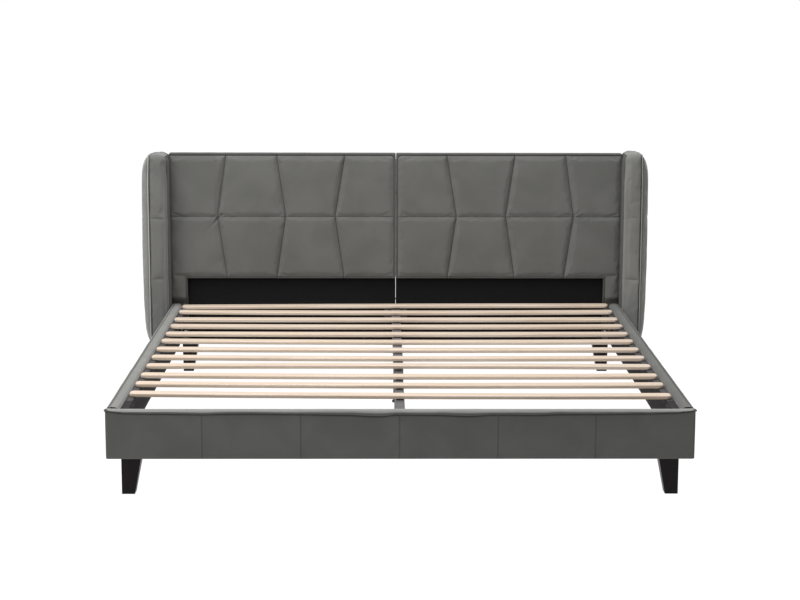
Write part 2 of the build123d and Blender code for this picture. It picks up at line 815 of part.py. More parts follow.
with BuildPart() as ledger_screws:
    for place in ledger_screw_places:
        screw(place, ledger_screw_length)
    mirror(about=Plane.YZ)
keep(ledger_screws, "ledger_screws")

with BuildPart() as bracket_screws:
    for place in (*foot_bracket_screws, *head_bracket_screws):
        screw(place, bracket_screw_length)
keep(bracket_screws, "bracket_screws")
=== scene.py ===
"""A tufted velvet bed with wings, dressed round its CAD frame."""

import math
from fnmatch import fnmatch
from functools import cache

import bmesh
import bpy
from bpy.props import FloatProperty, FloatVectorProperty, IntProperty, PointerProperty
from bpy.types import Operator, Panel, PropertyGroup
from mathutils import Matrix, Vector, noise


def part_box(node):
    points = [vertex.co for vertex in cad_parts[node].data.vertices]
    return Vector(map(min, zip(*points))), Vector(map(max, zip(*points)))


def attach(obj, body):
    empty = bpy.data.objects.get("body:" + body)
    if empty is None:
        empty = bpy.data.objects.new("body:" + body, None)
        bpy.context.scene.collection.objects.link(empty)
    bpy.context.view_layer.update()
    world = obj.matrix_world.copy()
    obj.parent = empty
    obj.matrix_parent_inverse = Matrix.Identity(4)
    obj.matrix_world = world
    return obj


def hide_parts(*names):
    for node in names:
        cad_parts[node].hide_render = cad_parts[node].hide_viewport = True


bl_info = {
    "name": "Wingback Bed",
    "version": (1, 0, 0),
    "blender": (4, 5, 0),
    "location": "View3D > Sidebar > Bed",
    "description": "Dresses the CAD frame of a tufted bed with velvet, cloth, birch and lacquer",
    "category": "Object",
}

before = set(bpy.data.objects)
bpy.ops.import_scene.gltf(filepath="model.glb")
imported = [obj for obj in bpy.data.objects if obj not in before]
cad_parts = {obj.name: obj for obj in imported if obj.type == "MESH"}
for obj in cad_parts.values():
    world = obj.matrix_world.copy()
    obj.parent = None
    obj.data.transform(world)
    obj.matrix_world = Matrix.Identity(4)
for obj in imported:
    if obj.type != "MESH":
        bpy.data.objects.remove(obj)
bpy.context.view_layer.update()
MM = 0.001
SIDES = (("right", 1), ("left", -1))

# Planes of the CAD model that several pieces share
PAD_LOW, PAD_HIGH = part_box("headboard_pad_right")
TIMBER_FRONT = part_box("headboard_frame_right")[0][1]
STILE_INNER = 950 * MM
FOOT_LOW, FOOT_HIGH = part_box("foot_rail_cover")
SIDE_LOW, SIDE_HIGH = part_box("side_rail_cover_right")
WING_LOW, WING_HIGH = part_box("wing_cover_right")
RAIL_TOP = FOOT_HIGH[2]
RAIL_BOTTOM = FOOT_LOW[2]
LAP_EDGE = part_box("side_ledger_right")[1][2] + 0.3 * MM


def linear(colour):
    """A colour written as sRGB hex, in the linear values that Blender's sockets take."""
    parts = [int(colour[place:place + 2], 16) / 255 for place in (1, 3, 5)]
    return [part / 12.92 if part <= 0.04045 else ((part + 0.055) / 1.055) ** 2.4 for part in parts]


class VelvetSettings(PropertyGroup):
    """The cloth that covers rails, wings and headboard."""

    colour: FloatVectorProperty(
        name="Velvet", description="Colour of the pile seen straight on", subtype="COLOR",
        size=3, min=0, max=1, default=linear("#595957"),
    )
    brushed_colour: FloatVectorProperty(
        name="Brushed velvet", description="Colour where the pile has been brushed the other way",
        subtype="COLOR", size=3, min=0, max=1, default=linear("#5F5F5D"),
    )
    pile_clump: FloatProperty(
        name="Pile clump", description="Width of one clump of pile", unit="LENGTH",
        default=2.2 * MM, min=0.2 * MM,
    )
    brush_mark: FloatProperty(
        name="Brush mark", description="Width of a brushed patch", unit="LENGTH",
        default=160 * MM, min=10 * MM,
    )


class PaddingSettings(PropertyGroup):
    """Sizes of the padding under the velvet."""

    roll_length: FloatProperty(
        name="Edge roll", description="Distance over which a panel rises from its seam", unit="LENGTH",
        default=5 * MM, min=2 * MM,
    )
    boxing: FloatProperty(
        name="Boxing", description="Width of the strip round a headboard half", unit="LENGTH",
        default=10 * MM, min=2 * MM,
    )
    piping_radius: FloatProperty(
        name="Piping radius", description="Radius of the piping round a wing", unit="LENGTH",
        default=2.6 * MM, min=1 * MM,
    )
    pressure: FloatProperty(
        name="Pressure", description="Pressure that the cloth simulation fills the pads with",
        default=3.0, min=0.0,
    )
    steps: IntProperty(name="Steps", description="Steps of the cloth simulation", default=16, min=1, max=60)


class StageSettings(PropertyGroup):
    """Lamps, floor and backdrop."""

    key_power: FloatProperty(
        name="Key lamp", description="Power of the soft lamp at the left", default=150.0, min=0
    )
    top_power: FloatProperty(
        name="Top lamp", description="Power of the soft lamp overhead", default=210.0, min=0
    )
    sky: FloatProperty(
        name="Room light", description="Strength of the light from all round", default=0.42, min=0
    )


# Materials ------------------------------------------------------------------

# Painted light and shade: how much lighter or darker each velvet piece is painted than the plain cloth for
# the light that falls on it, and its sheen, as the photograph shows them
VELVET_PAINTED_LIGHT = {
    "headboard": (1.0, 0.55), "boxing": (0.7, 0.12),
    "wing_right": (1.4, 0.55), "wing_left": (1.12, 0.55), "wing_inside": (0.5, 0.1),
    "wing_outside_right": (1.55, 0.8), "wing_outside_left": (1.65, 0.8),
    "piping_right": (1.9, 0.55), "piping_left": (3.0, 0.55),
    "foot_rail": (0.76, 0.55), "foot_top": (1.75, 0.75), "side_right": (0.8, 0.55), "side_left": (1.5, 0.55),
}
# The colour between clumps of pile, and the painted shade at the bottom of a seam, as shares of the plain
# colour
FLECK_SHARE = 0.55
CREASE_SHADE_SHARE = 0.22


def add_node(tree, kind, settings):
    """Adds a node. A setting is a property's or socket's value, an output, or a node for its first output."""
    node = tree.nodes.new(kind)
    for key, value in settings.items():
        if isinstance(value, bpy.types.Node):
            value = value.outputs[0]
        if isinstance(value, bpy.types.NodeSocket):
            tree.links.new(value, node.inputs[key])
        elif isinstance(key, str) and hasattr(node, key):
            setattr(node, key, value)
        else:
            node.inputs[key].default_value = value
    return node


def start_material(name, roughness, **sockets):
    """A material with its shader's sockets set, and the object coordinates that its patterns follow."""
    material = bpy.data.materials.new(name)
    material.use_nodes = True
    tree = material.node_tree
    shader = tree.nodes["Principled BSDF"]
    shader.inputs["Roughness"].default_value = roughness
    for key, value in sockets.items():
        shader.inputs[key.replace("_", " ")].default_value = value
    return material, tree, shader, add_node(tree, "ShaderNodeTexCoord", {}).outputs["Object"]


def finish_surface(tree, shader, base, layers, relief=None, depth=0.0):
    """Lays colours over a base, each as far as its pattern says, and raises a pattern to a depth."""
    colour = (*base, 1)
    for pattern, over in layers:
        settings = {"data_type": "RGBA", 0: pattern, 6: colour, 7: (*over, 1)}
        colour = add_node(tree, "ShaderNodeMix", settings).outputs[2]
    tree.links.new(colour, shader.inputs["Base Color"])
    if relief:
        bump = add_node(tree, "ShaderNodeBump", {"Strength": 1.0, "Distance": depth, "Height": relief})
        tree.links.new(bump.outputs["Normal"], shader.inputs["Normal"])


@cache
def polyester_velvet(part):
    """Woven pile: dark seen straight on, pale where it turns away, with brushed patches, painted lighter or
    darker per piece for the light on it and darkened with painted shade at seams.
    """
    lift, sheen = VELVET_PAINTED_LIGHT[part]
    settings = bpy.context.scene.bed_velvet
    plain = [value * lift for value in settings.colour]
    brushed = [value * lift for value in settings.brushed_colour]
    material, tree, shader, place = start_material(
        f"polyester_velvet_{part}", 0.92, Specular_IOR_Level=0.18, Sheen_Weight=sheen, Sheen_Roughness=0.38,
        Sheen_Tint=(*linear("#D8D8D4"), 1),
    )
    marks = add_node(tree, "ShaderNodeTexNoise", {
        "Scale": 1 / settings.brush_mark, "Detail": 3.0, "Roughness": 0.5, "Distortion": 0.6, "Vector": place,
    })
    patches = add_node(tree, "ShaderNodeMapRange", {"From Min": 0.38, "From Max": 0.64, "Value": marks})
    clumps = add_node(tree, "ShaderNodeTexNoise", {
        "Scale": 1 / settings.pile_clump, "Detail": 2.0, "Roughness": 0.6, "Vector": place,
    })
    flecks = add_node(tree, "ShaderNodeMapRange", {
        "From Min": 0.3, "From Max": 0.7, "To Min": 0.0, "To Max": 0.12, "Value": clumps,
    })
    # The crease attribute darkens the velvet with painted shade at seams, rims, folds and hollows
    crease = add_node(tree, "ShaderNodeAttribute", {"attribute_name": "crease"}).outputs["Fac"]
    layers = (
        (patches, brushed), (flecks, [value * FLECK_SHARE for value in plain]),
        (crease, [value * CREASE_SHADE_SHARE for value in plain]),
    )
    finish_surface(tree, shader, plain, layers, clumps, 0.25 * MM)
    return material


@cache
def birch_veneer():
    """Peeled birch, sanded and unlacquered: pale and pinkish, with long faint grain and rare pin knots."""
    material, tree, shader, place = start_material("birch_veneer", 0.55, Specular_IOR_Level=0.35)
    # The fourth coordinate gives each slat a piece of the pattern of its own
    turn = add_node(tree, "ShaderNodeObjectInfo", {}).outputs["Random"]
    shift = add_node(tree, "ShaderNodeMath", {"operation": "MULTIPLY", 1: 7.0, 0: turn})
    # Streaks about 460 mm long and 11 mm wide
    streaked = add_node(tree, "ShaderNodeMapping", {"Scale": (0.9, 38.0, 38.0), "Vector": place})
    grain = add_node(tree, "ShaderNodeTexNoise", {
        "noise_dimensions": "4D", "Scale": 2.4, "Detail": 5.0, "Roughness": 0.62, "Distortion": 0.5,
        "Vector": streaked, "W": shift,
    })
    streaks = add_node(tree, "ShaderNodeMapRange", {"From Min": 0.36, "From Max": 0.66, "Value": grain})
    # Warmer clouds about 600 mm wide
    clouds = add_node(tree, "ShaderNodeTexNoise", {
        "noise_dimensions": "4D", "Scale": 1.6, "Detail": 2.0, "Vector": place, "W": shift,
    })
    warm = add_node(tree, "ShaderNodeMapRange", {
        "From Min": 0.4, "From Max": 0.7, "To Max": 0.5, "Value": clouds,
    })
    # Pin knots about 280 mm apart along a slat and 70 mm across it
    spots = add_node(tree, "ShaderNodeMapping", {"Scale": (2.2, 9.0, 9.0), "Vector": place})
    knots = add_node(tree, "ShaderNodeTexVoronoi", {
        "voronoi_dimensions": "4D", "Scale": 1.6, "Randomness": 1.0, "Vector": spots, "W": shift,
    })
    knot = add_node(tree, "ShaderNodeMapRange", {
        "From Min": 0.035, "From Max": 0.075, "To Min": 0.75, "To Max": 0.0, "Value": knots,
    })
    layers = ((streaks, linear("#AF9C8A")), (warm, linear("#BCA791")), (knot, linear("#6B4A31")))
    finish_surface(tree, shader, linear("#C6B8AA"), layers, grain, 0.15 * MM)
    return material


@cache
def planed_pine():
    """Planed softwood, unfinished: yellow with darker growth lines."""
    material, tree, shader, place = start_material("planed_pine", 0.7, Specular_IOR_Level=0.3)
    # Growth lines about 200 mm long and 14 mm apart
    along = add_node(tree, "ShaderNodeMapping", {"Scale": (1.0, 14.0, 14.0), "Vector": place})
    rings = add_node(tree, "ShaderNodeTexNoise", {
        "Scale": 5.0, "Detail": 4.0, "Distortion": 1.2, "Vector": along,
    })
    darker = add_node(tree, "ShaderNodeMapRange", {"From Min": 0.4, "From Max": 0.62, "Value": rings})
    finish_surface(tree, shader, linear("#D9BC8C"), ((darker, linear("#B98F5C")),), rings, 0.3 * MM)
    return material


@cache
def black_lacquer():
    """Satin lacquer on wood: near black with a soft gloss and a faint grain under it."""
    material, tree, shader, place = start_material("satin_black_lacquer", 0.42, Specular_IOR_Level=0.14)
    # Grain upright in the leg, lines about 6 mm apart
    along = add_node(tree, "ShaderNodeMapping", {"Scale": (60.0, 60.0, 5.0), "Vector": place})
    grain = add_node(tree, "ShaderNodeTexNoise", {"Scale": 3.0, "Detail": 4.0, "Vector": along})
    finish_surface(tree, shader, linear("#0C080A"), ((grain, linear("#130E10")),), grain, 0.12 * MM)
    return material


@cache
def nonwoven_cloth(name, dark, pale):
    """Spunbond cloth stapled over boards: flat, matt, with the dots of its hot rollers."""
    material, tree, shader, place = start_material(name, 0.88, Specular_IOR_Level=0.2)
    dots = add_node(tree, "ShaderNodeTexVoronoi", {
        "Scale": 1 / (3.5 * MM), "Randomness": 0.15, "Vector": place,
    })
    fibres = add_node(tree, "ShaderNodeTexNoise", {"Scale": 1 / (9 * MM), "Detail": 4.0, "Vector": place})
    broad = add_node(tree, "ShaderNodeTexNoise", {"Scale": 1 / (400 * MM), "Detail": 2.0, "Vector": place})
    shade = add_node(tree, "ShaderNodeMapRange", {
        "From Min": 0.4, "From Max": 0.7, "To Max": 0.35, "Value": broad,
    })
    layers = ((fibres, linear(pale)), (shade, linear(pale)))
    finish_surface(tree, shader, linear(dark), layers, dots, 0.3 * MM)
    return material


@cache
def powder_coat(name, dark, pale, roughness=0.42):
    """Powder coat on steel: even colour with a fine orange peel."""
    material, tree, shader, place = start_material(name, roughness, Specular_IOR_Level=0.5)
    peel = add_node(tree, "ShaderNodeTexNoise", {"Scale": 1 / (2.5 * MM), "Detail": 2.0, "Vector": place})
    # Clouds about 170 mm wide
    broad = add_node(tree, "ShaderNodeTexNoise", {"Scale": 6.0, "Detail": 3.0, "Vector": place})
    finish_surface(tree, shader, linear(dark), ((broad, linear(pale)),), peel, 0.08 * MM)
    return material


@cache
def zinc_plate():
    """Bright zinc on pressed steel and bolts: cool metal with a cloudy passivated bloom."""
    material, tree, shader, place = start_material("zinc_plated_steel", 0.34, Metallic=1.0)
    bloom = add_node(tree, "ShaderNodeTexNoise", {"Scale": 1 / (14 * MM), "Detail": 3.0, "Vector": place})
    finish_surface(tree, shader, linear("#B9BABC"), ((bloom, linear("#9C9DA1")),))
    rough = add_node(tree, "ShaderNodeMapRange", {"To Min": 0.25, "To Max": 0.45, "Value": bloom})
    tree.links.new(rough.outputs["Result"], shader.inputs["Roughness"])
    return material


@cache
def woven_tape():
    """Polypropylene webbing: flat black tape with a coarse weave."""
    material, tree, shader, place = start_material("polypropylene_tape", 0.7, Specular_IOR_Level=0.3)
    ribs = add_node(tree, "ShaderNodeTexWave", {
        "bands_direction": "Y", "Scale": 1 / (16 * MM), "Distortion": 0.4, "Vector": place,
    }).outputs["Fac"]
    finish_surface(tree, shader, linear("#2C2A2B"), ((ribs, linear("#3C3A3B")),), ribs, 0.4 * MM)
    return material


@cache
def moulded_nylon():
    """Moulded nylon: black, with a faint spark-eroded grain."""
    material, tree, shader, place = start_material("moulded_nylon", 0.5, Specular_IOR_Level=0.45)
    grain = add_node(tree, "ShaderNodeTexNoise", {"Scale": 1 / (1.5 * MM), "Detail": 2.0, "Vector": place})
    finish_surface(tree, shader, linear("#1A1A1A"), ((grain, linear("#242424")),), grain, 0.1 * MM)
    return material


# Meshes ---------------------------------------------------------------------

def grid_sheet(columns, rows, place):
    """A sheet of columns by rows faces whose corner number (i, j) lies at place(i, j)."""
    sheet = bmesh.new()
    bmesh.ops.create_grid(sheet, x_segments=columns, y_segments=rows, size=0.5)
    spots = {}
    for vert in sheet.verts:
        spot = round((vert.co.x + 0.5) * columns), round((vert.co.y + 0.5) * rows)
        spots[vert] = spot
        vert.co = place(*spot)
    return sheet, spots


def add_box(mesh, centre, size):
    """Adds a box to a bmesh."""
    bmesh.ops.create_cube(mesh, size=1, matrix=Matrix.LocRotScale(centre, None, size))


def keep_piece(name, mesh_data, *finishes, replaced=None, smooth=True):
    """Makes an object of a bmesh or mesh, at the origin, riding on the bed."""
    mesh = mesh_data
    if isinstance(mesh_data, bmesh.types.BMesh):
        mesh = bpy.data.meshes.new(name)
        mesh_data.to_mesh(mesh)
        mesh_data.free()
    for finish in finishes:
        mesh.materials.append(finish)
    if smooth:
        mesh.shade_smooth()
    piece = bpy.data.objects.new(name, mesh)
    bpy.context.scene.collection.objects.link(piece)
    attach(piece, "bed")
    if replaced:
        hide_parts(replaced)
    return piece


def keep_pad(name, fill, sheet, *finishes, replaced=None):
    """Keeps a padded piece of velvet. Its fill, from 0, slack, to 1, tight, is not used."""
    pad = keep_piece(name, sheet, *finishes, replaced=replaced)
    return pad


def add_modifier(piece, kind, **settings):
    """Adds a modifier with its settings."""
    modifier = piece.modifiers.new(kind.title(), kind)
    for key, value in settings.items():
        setattr(modifier, key, value)


def refine(piece):
    """Rounds a piece off with one subdivision."""
    add_modifier(piece, "SUBSURF", levels=1, render_levels=1)


def mirrored(sheet):
    """Turns a right-hand bmesh into the left-hand one."""
    bmesh.ops.scale(sheet, vec=(-1, 1, 1), verts=sheet.verts)
    bmesh.ops.reverse_faces(sheet, faces=sheet.faces)


def face_outwards(sheet, direction):
    """Turns an open sheet so that its faces look along a direction."""
    if sum((face.normal.dot(direction) * face.calc_area() for face in sheet.faces)) < 0:
        bmesh.ops.reverse_faces(sheet, faces=sheet.faces)
    sheet.normal_update()


# A light woven cover, damped until it lies still
CLOTH_SETTINGS = {
    "quality": 5, "mass": 0.35, "tension_stiffness": 18, "compression_stiffness": 18,
    "shear_stiffness": 8, "bending_stiffness": 1.2, "tension_damping": 12, "compression_damping": 12,
    "shear_damping": 12, "air_damping": 6, "use_pressure": True, "vertex_group_mass": "seams",
}


def blow_up(sheet, pinned, cap, pressure_share=1.0, stretch=0.01):
    """Fills a sheet with the cloth simulation, holding its seams, and caps how far a point moves."""
    settings = bpy.context.scene.bed_padding
    mesh = bpy.data.meshes.new("cloth_sheet")
    sheet.to_mesh(mesh)
    sheet.free()
    start = [vert.co.copy() for vert in mesh.vertices]
    cloth_piece = bpy.data.objects.new("cloth_sheet", mesh)
    scene = bpy.context.scene
    scene.collection.objects.link(cloth_piece)
    group = cloth_piece.vertex_groups.new(name="seams")
    group.add(sorted(pinned), 1.0, "REPLACE")
    cloth = cloth_piece.modifiers.new("Cloth", "CLOTH")
    for key, value in CLOTH_SETTINGS.items():
        setattr(cloth.settings, key, value)
    cloth.settings.shrink_min = -stretch
    cloth.settings.uniform_pressure_force = settings.pressure * pressure_share
    cloth.settings.effector_weights.gravity = 0
    cloth.collision_settings.use_collision = False
    cloth.collision_settings.use_self_collision = False
    cloth.point_cache.frame_start = 1
    cloth.point_cache.frame_end = settings.steps
    for step in range(1, settings.steps + 1):
        scene.frame_set(step)
    blown = bpy.data.meshes.new_from_object(
        cloth_piece.evaluated_get(bpy.context.evaluated_depsgraph_get())
    )
    bpy.data.objects.remove(cloth_piece)
    scene.frame_set(1)
    for vert, place in zip(blown.vertices, start):
        move = vert.co - place
        if move.length > cap:
            vert.co = place + move.normalized() * cap
    result = bmesh.new()
    result.from_mesh(blown)
    bpy.data.meshes.remove(blown)
    return result


def paint_crease_shade(sheet, share_at):
    """Stores how much painted shade each point gets in a seam or fold, which the velvet is darkened by."""
    layer = sheet.verts.layers.float.get("crease") or sheet.verts.layers.float.new("crease")
    for vert in sheet.verts:
        vert[layer] = share_at(vert)


def mellow(place, width, seed):
    """A smooth wandering value from -1 to 1, the same each run."""
    return noise.noise(Vector(place) / width + Vector((seed * 7.3, seed * 3.1, seed * 1.7)))


def bell(distance, width):
    """1 at no distance, falling off evenly to both sides over a width."""
    return math.exp(-((distance / width) ** 2))


def smooth_step(low, high, value):
    """0 below low, 1 above high, and an even curve between."""
    share = min(max((value - low) / (high - low), 0.0), 1.0)
    return share * share * (3 - 2 * share)


def follow_table(table, value):
    """A value read off a table of (place, value) pairs, with smooth steps between them."""
    for (low, first), (high, second) in zip(table, table[1:]):
        if value <= high:
            return first + (second - first) * smooth_step(low, high, value)
    return table[-1][1]


def extrude_border(sheet, edges, offsets):
    """Grows a ring from open edges; offsets maps each old corner to the new one's place."""
    grown = bmesh.ops.extrude_edge_only(sheet, edges=edges)["geom"]
    new_verts = {part for part in grown if isinstance(part, bmesh.types.BMVert)}
    new_edges = [
        part for part in grown if isinstance(part, bmesh.types.BMEdge)
        and part.verts[0] in new_verts and part.verts[1] in new_verts
    ]
    partners = {}
    for vert in new_verts:
        for edge in vert.link_edges:
            other = edge.other_vert(vert)
            if other not in new_verts:
                partners[vert] = other
    for vert, old in partners.items():
        vert.co = offsets(old)
    return new_edges, partners


def border_directions(edges):
    """The outward direction, in the plane of X and Z, at each corner of an open border."""
    sums = {}
    for edge in edges:
        along = edge.verts[1].co - edge.verts[0].co
        away = Vector((along.z, 0, -along.x)).normalized()
        middle = (edge.verts[0].co + edge.verts[1].co) / 2
        if away.dot(middle - edge.link_faces[0].calc_center_median()) < 0:
            away.negate()
        for vert in edge.verts:
            sums.setdefault(vert, []).append(away)
    directions = {}
    for vert, parts in sums.items():
        total = sum(parts, Vector())
        spread = 1 + parts[0].dot(parts[-1]) if len(parts) > 1 else 1
        directions[vert] = total / max(spread, 0.4)
    return directions


def close_hole(sheet, edges):
    """Closes a hole with triangles, because a face of hundreds of corners is slow to subdivide."""
    faces = bmesh.ops.contextual_create(sheet, geom=edges)["faces"]
    bmesh.ops.triangulate(sheet, faces=faces, quad_method="BEAUTY", ngon_method="BEAUTY")


def piping(points, radius, name):
    """A round welt that closes on itself along points, as a mesh."""
    curve = bpy.data.curves.new(name, "CURVE")
    curve.dimensions = "3D"
    curve.bevel_depth = radius
    curve.bevel_resolution = 2
    spline = curve.splines.new("POLY")
    spline.points.add(len(points) - 1)
    for point, place in zip(spline.points, points):
        point.co = (*place, 1)
    spline.use_cyclic_u = True
    holder = bpy.data.objects.new(name, curve)
    bpy.context.scene.collection.objects.link(holder)
    mesh = bpy.data.meshes.new_from_object(holder)
    bpy.data.objects.remove(holder)
    bpy.data.curves.remove(curve)
    return mesh


# Headboard ------------------------------------------------------------------

# Seams of one half, as shares of its width, at the bottom, the cross seam and the top
TUFT_BOTTOM_SHARES = (0.230, 0.526, 0.748)
TUFT_MIDDLE_SHARES = (0.268, 0.486, 0.786)
TUFT_TOP_SHARES = (0.225, 0.524, 0.747)
STILE_SHARE = 0.70
TUFT_COLUMNS = (30, 36, 32, 26, 10)
# The ends of each column that its corners crowd towards, where a seam or the border is
TUFT_CROWDING = ("both", "both", "both", "low", "high")
TUFT_ROWS = 44
STILE_ROWS = 30
PAD_BOTTOM = 438 * MM
SEAM_HEIGHT = 723 * MM
STILE_PAD_BOTTOM = 330 * MM
STILE_PAD_RISE = 14 * MM
SEAM_DEPTH = 12 * MM
CROSS_SEAM_DEPTH = 4 * MM
BORDER_DEPTH = 5 * MM
CROWN_START = 2 * MM
SLAB_THICKNESS = 16 * MM
PAD_CORNER_RADIUS = 14 * MM
# Cosine of the upright seams' lean, by which they are nearer than their distance in X
SEAM_LEAN = 0.97
# Painted shade along the stitched seams of the pad
SEAM_CREASE = 0.72
# Rings of the boxing behind the front sheet: the share of its width that they stand out, and how far
# behind the sheet's edge they lie, or None for the last, which lies against the timber
BOXING_RINGS = (
    (0.22, 2.5 * MM), (0.5, -1.5 * MM), (0.85, 1 * MM), (1.0, 6 * MM), (1.0, 12 * MM), (1.0, None),
)
# Painted shade on the boxing's rings: on the ring beside the front sheet, and on the rings behind it at the
# top and at the sides
FRONT_RING_CREASE, TOP_RING_CREASE, SIDE_RING_CREASE = 0.75, 0.6, 0.2
JOINT_GAP = 0.2 * MM
# How far the velvet of the top laps the boxing and reaches down behind it, and its lip's size
TOP_LAP = 2 * MM
TOP_REACH = 11.7 * MM
LIP_WIDTH, LIP_REACH = 40 * MM, 60 * MM


def crowd(share, ends, strength=0.72):
    """Crowds evenly spread shares towards one or both ends of a panel."""
    if ends == "both":
        return share - strength / math.tau * math.sin(math.tau * share)
    if ends == "low":
        return share - strength / math.pi * math.sin(math.pi * share)
    return share + strength / math.pi * math.sin(math.pi * share)


class TuftLayout:
    """Places the grid of one headboard half on its panels."""

    def __init__(self, boxing):
        self.inner = PAD_LOW[0] + boxing
        self.outer = PAD_HIGH[0] - boxing
        self.top = PAD_HIGH[2] - boxing
        self.bottom = PAD_BOTTOM + boxing
        self.stile = STILE_INNER + boxing
        width = PAD_HIGH[0]
        self.stops = []
        for shares in (TUFT_BOTTOM_SHARES, TUFT_MIDDLE_SHARES, TUFT_TOP_SHARES):
            stops = [self.inner, *(share * width for share in shares)]
            stile = self.stile if shares is TUFT_BOTTOM_SHARES else (
                stops[-1] + STILE_SHARE * (self.outer - stops[-1])
            )
            self.stops.append([*stops, stile, self.outer])
        self.starts = [sum(TUFT_COLUMNS[:count]) for count in range(len(TUFT_COLUMNS) + 1)]
        self.columns = self.starts[-1]
        self.rows = STILE_ROWS + 2 * TUFT_ROWS

    def height(self, row):
        """The height of a grid row."""
        if row < STILE_ROWS:
            return PAD_LOW[2] + (self.bottom - PAD_LOW[2]) * row / STILE_ROWS
        share = (row - STILE_ROWS) / TUFT_ROWS
        if share <= 1:
            return self.bottom + (SEAM_HEIGHT - self.bottom) * crowd(share, "both")
        return SEAM_HEIGHT + (self.top - SEAM_HEIGHT) * crowd(share - 1, "both")

    def stops_at(self, height):
        """The X of each upright seam at a height."""
        low, middle, high = self.stops
        if height < SEAM_HEIGHT:
            share = max((height - self.bottom) / (SEAM_HEIGHT - self.bottom), 0)
            return [a + (b - a) * share for a, b in zip(low, middle)]
        share = (height - SEAM_HEIGHT) / (self.top - SEAM_HEIGHT)
        return [a + (b - a) * share for a, b in zip(middle, high)]

    def column_of(self, index):
        """The panel column that a grid column falls in."""
        for column in range(len(TUFT_COLUMNS)):
            if index <= self.starts[column + 1]:
                return column
        return len(TUFT_COLUMNS) - 1

    def point(self, index, row):
        """The X, Z of a grid corner, before the top corner is rounded."""
        height = self.height(row)
        stops = self.stops_at(height)
        column = self.column_of(index)
        share = (index - self.starts[column]) / TUFT_COLUMNS[column]
        share = crowd(share, TUFT_CROWDING[column])
        return stops[column] + (stops[column + 1] - stops[column]) * share, height

    def seam_distance(self, index, row):
        """How far a grid corner lies from the upright seams, the cross seam and the pad's border."""
        x, z = self.point(index, row)
        upright = min(abs(x - seam) * SEAM_LEAN for seam in self.stops_at(z)[1:4])
        cross = abs(z - SEAM_HEIGHT)
        borders = [self.outer - x, self.top - z]
        if z >= self.bottom:
            borders.append(x - self.inner)
            if x < self.stile:
                borders.append(z - self.bottom)
            else:
                borders.append(math.hypot(x - self.stile, z - self.bottom))
        else:
            upright = cross = self.outer
            borders.append(x - self.stile)
            borders.append(max(z - STILE_PAD_BOTTOM, 0))
        return upright, cross, max(min(borders), 0)


def round_corner(x, z, corner_x, corner_z, radius):
    """Pulls points of a square corner in to a quarter circle."""
    centre_x, centre_z = corner_x + radius, corner_z - radius
    away_x, away_z = x - centre_x, z - centre_z
    if away_x >= 0 or away_z <= 0:
        return x, z
    longest = max(-away_x, away_z)
    shrink = longest / math.hypot(away_x, away_z)
    return centre_x + away_x * shrink, centre_z + away_z * shrink


# Small gathers beside the cross seam, in mm: side, start X and Z, end X and Z, width, depth
GATHERS = (
    (-1, 796, 726, 880, 636, 8, 6.5),
    (-1, 822, 724, 870, 664, 6, 3.8),
    (-1, 500, 720, 530, 690, 6, 3.0),
    (1, 812, 727, 862, 770, 6, 3.0),
    (1, 800, 727, 752, 750, 5, 2.2),
    (1, 506, 718, 540, 694, 5, 2.0),
)
GATHER_RIDGE = 0.7
GATHER_SHADE = 0.1
DEEPEST_GATHER_SHADE = 0.5


def gather_depth(side, x, z):
    """How far the gathers push a point of the pad in, or out beside them, and how much they shade it."""
    depth = shade = 0
    for gather_side, x0, z0, x1, z1, width_mm, deep in GATHERS:
        if gather_side != side:
            continue
        width = width_mm * MM
        along = Vector(((x1 - x0) * MM, (z1 - z0) * MM))
        offset = Vector((x - x0 * MM, z - z0 * MM))
        share = offset.dot(along) / along.length_squared
        if share < -0.1 or share > 1:
            continue
        beside = (offset - along * share).length * math.copysign(1, offset.cross(along))
        fade = (1 - max(share, 0)) ** 0.8
        depth += deep * MM * fade * (bell(beside, width) - GATHER_RIDGE * bell(beside - width, width))
        shade += GATHER_SHADE * deep * fade * bell(beside, 0.5 * width)
    return depth, min(shade, DEEPEST_GATHER_SHADE)


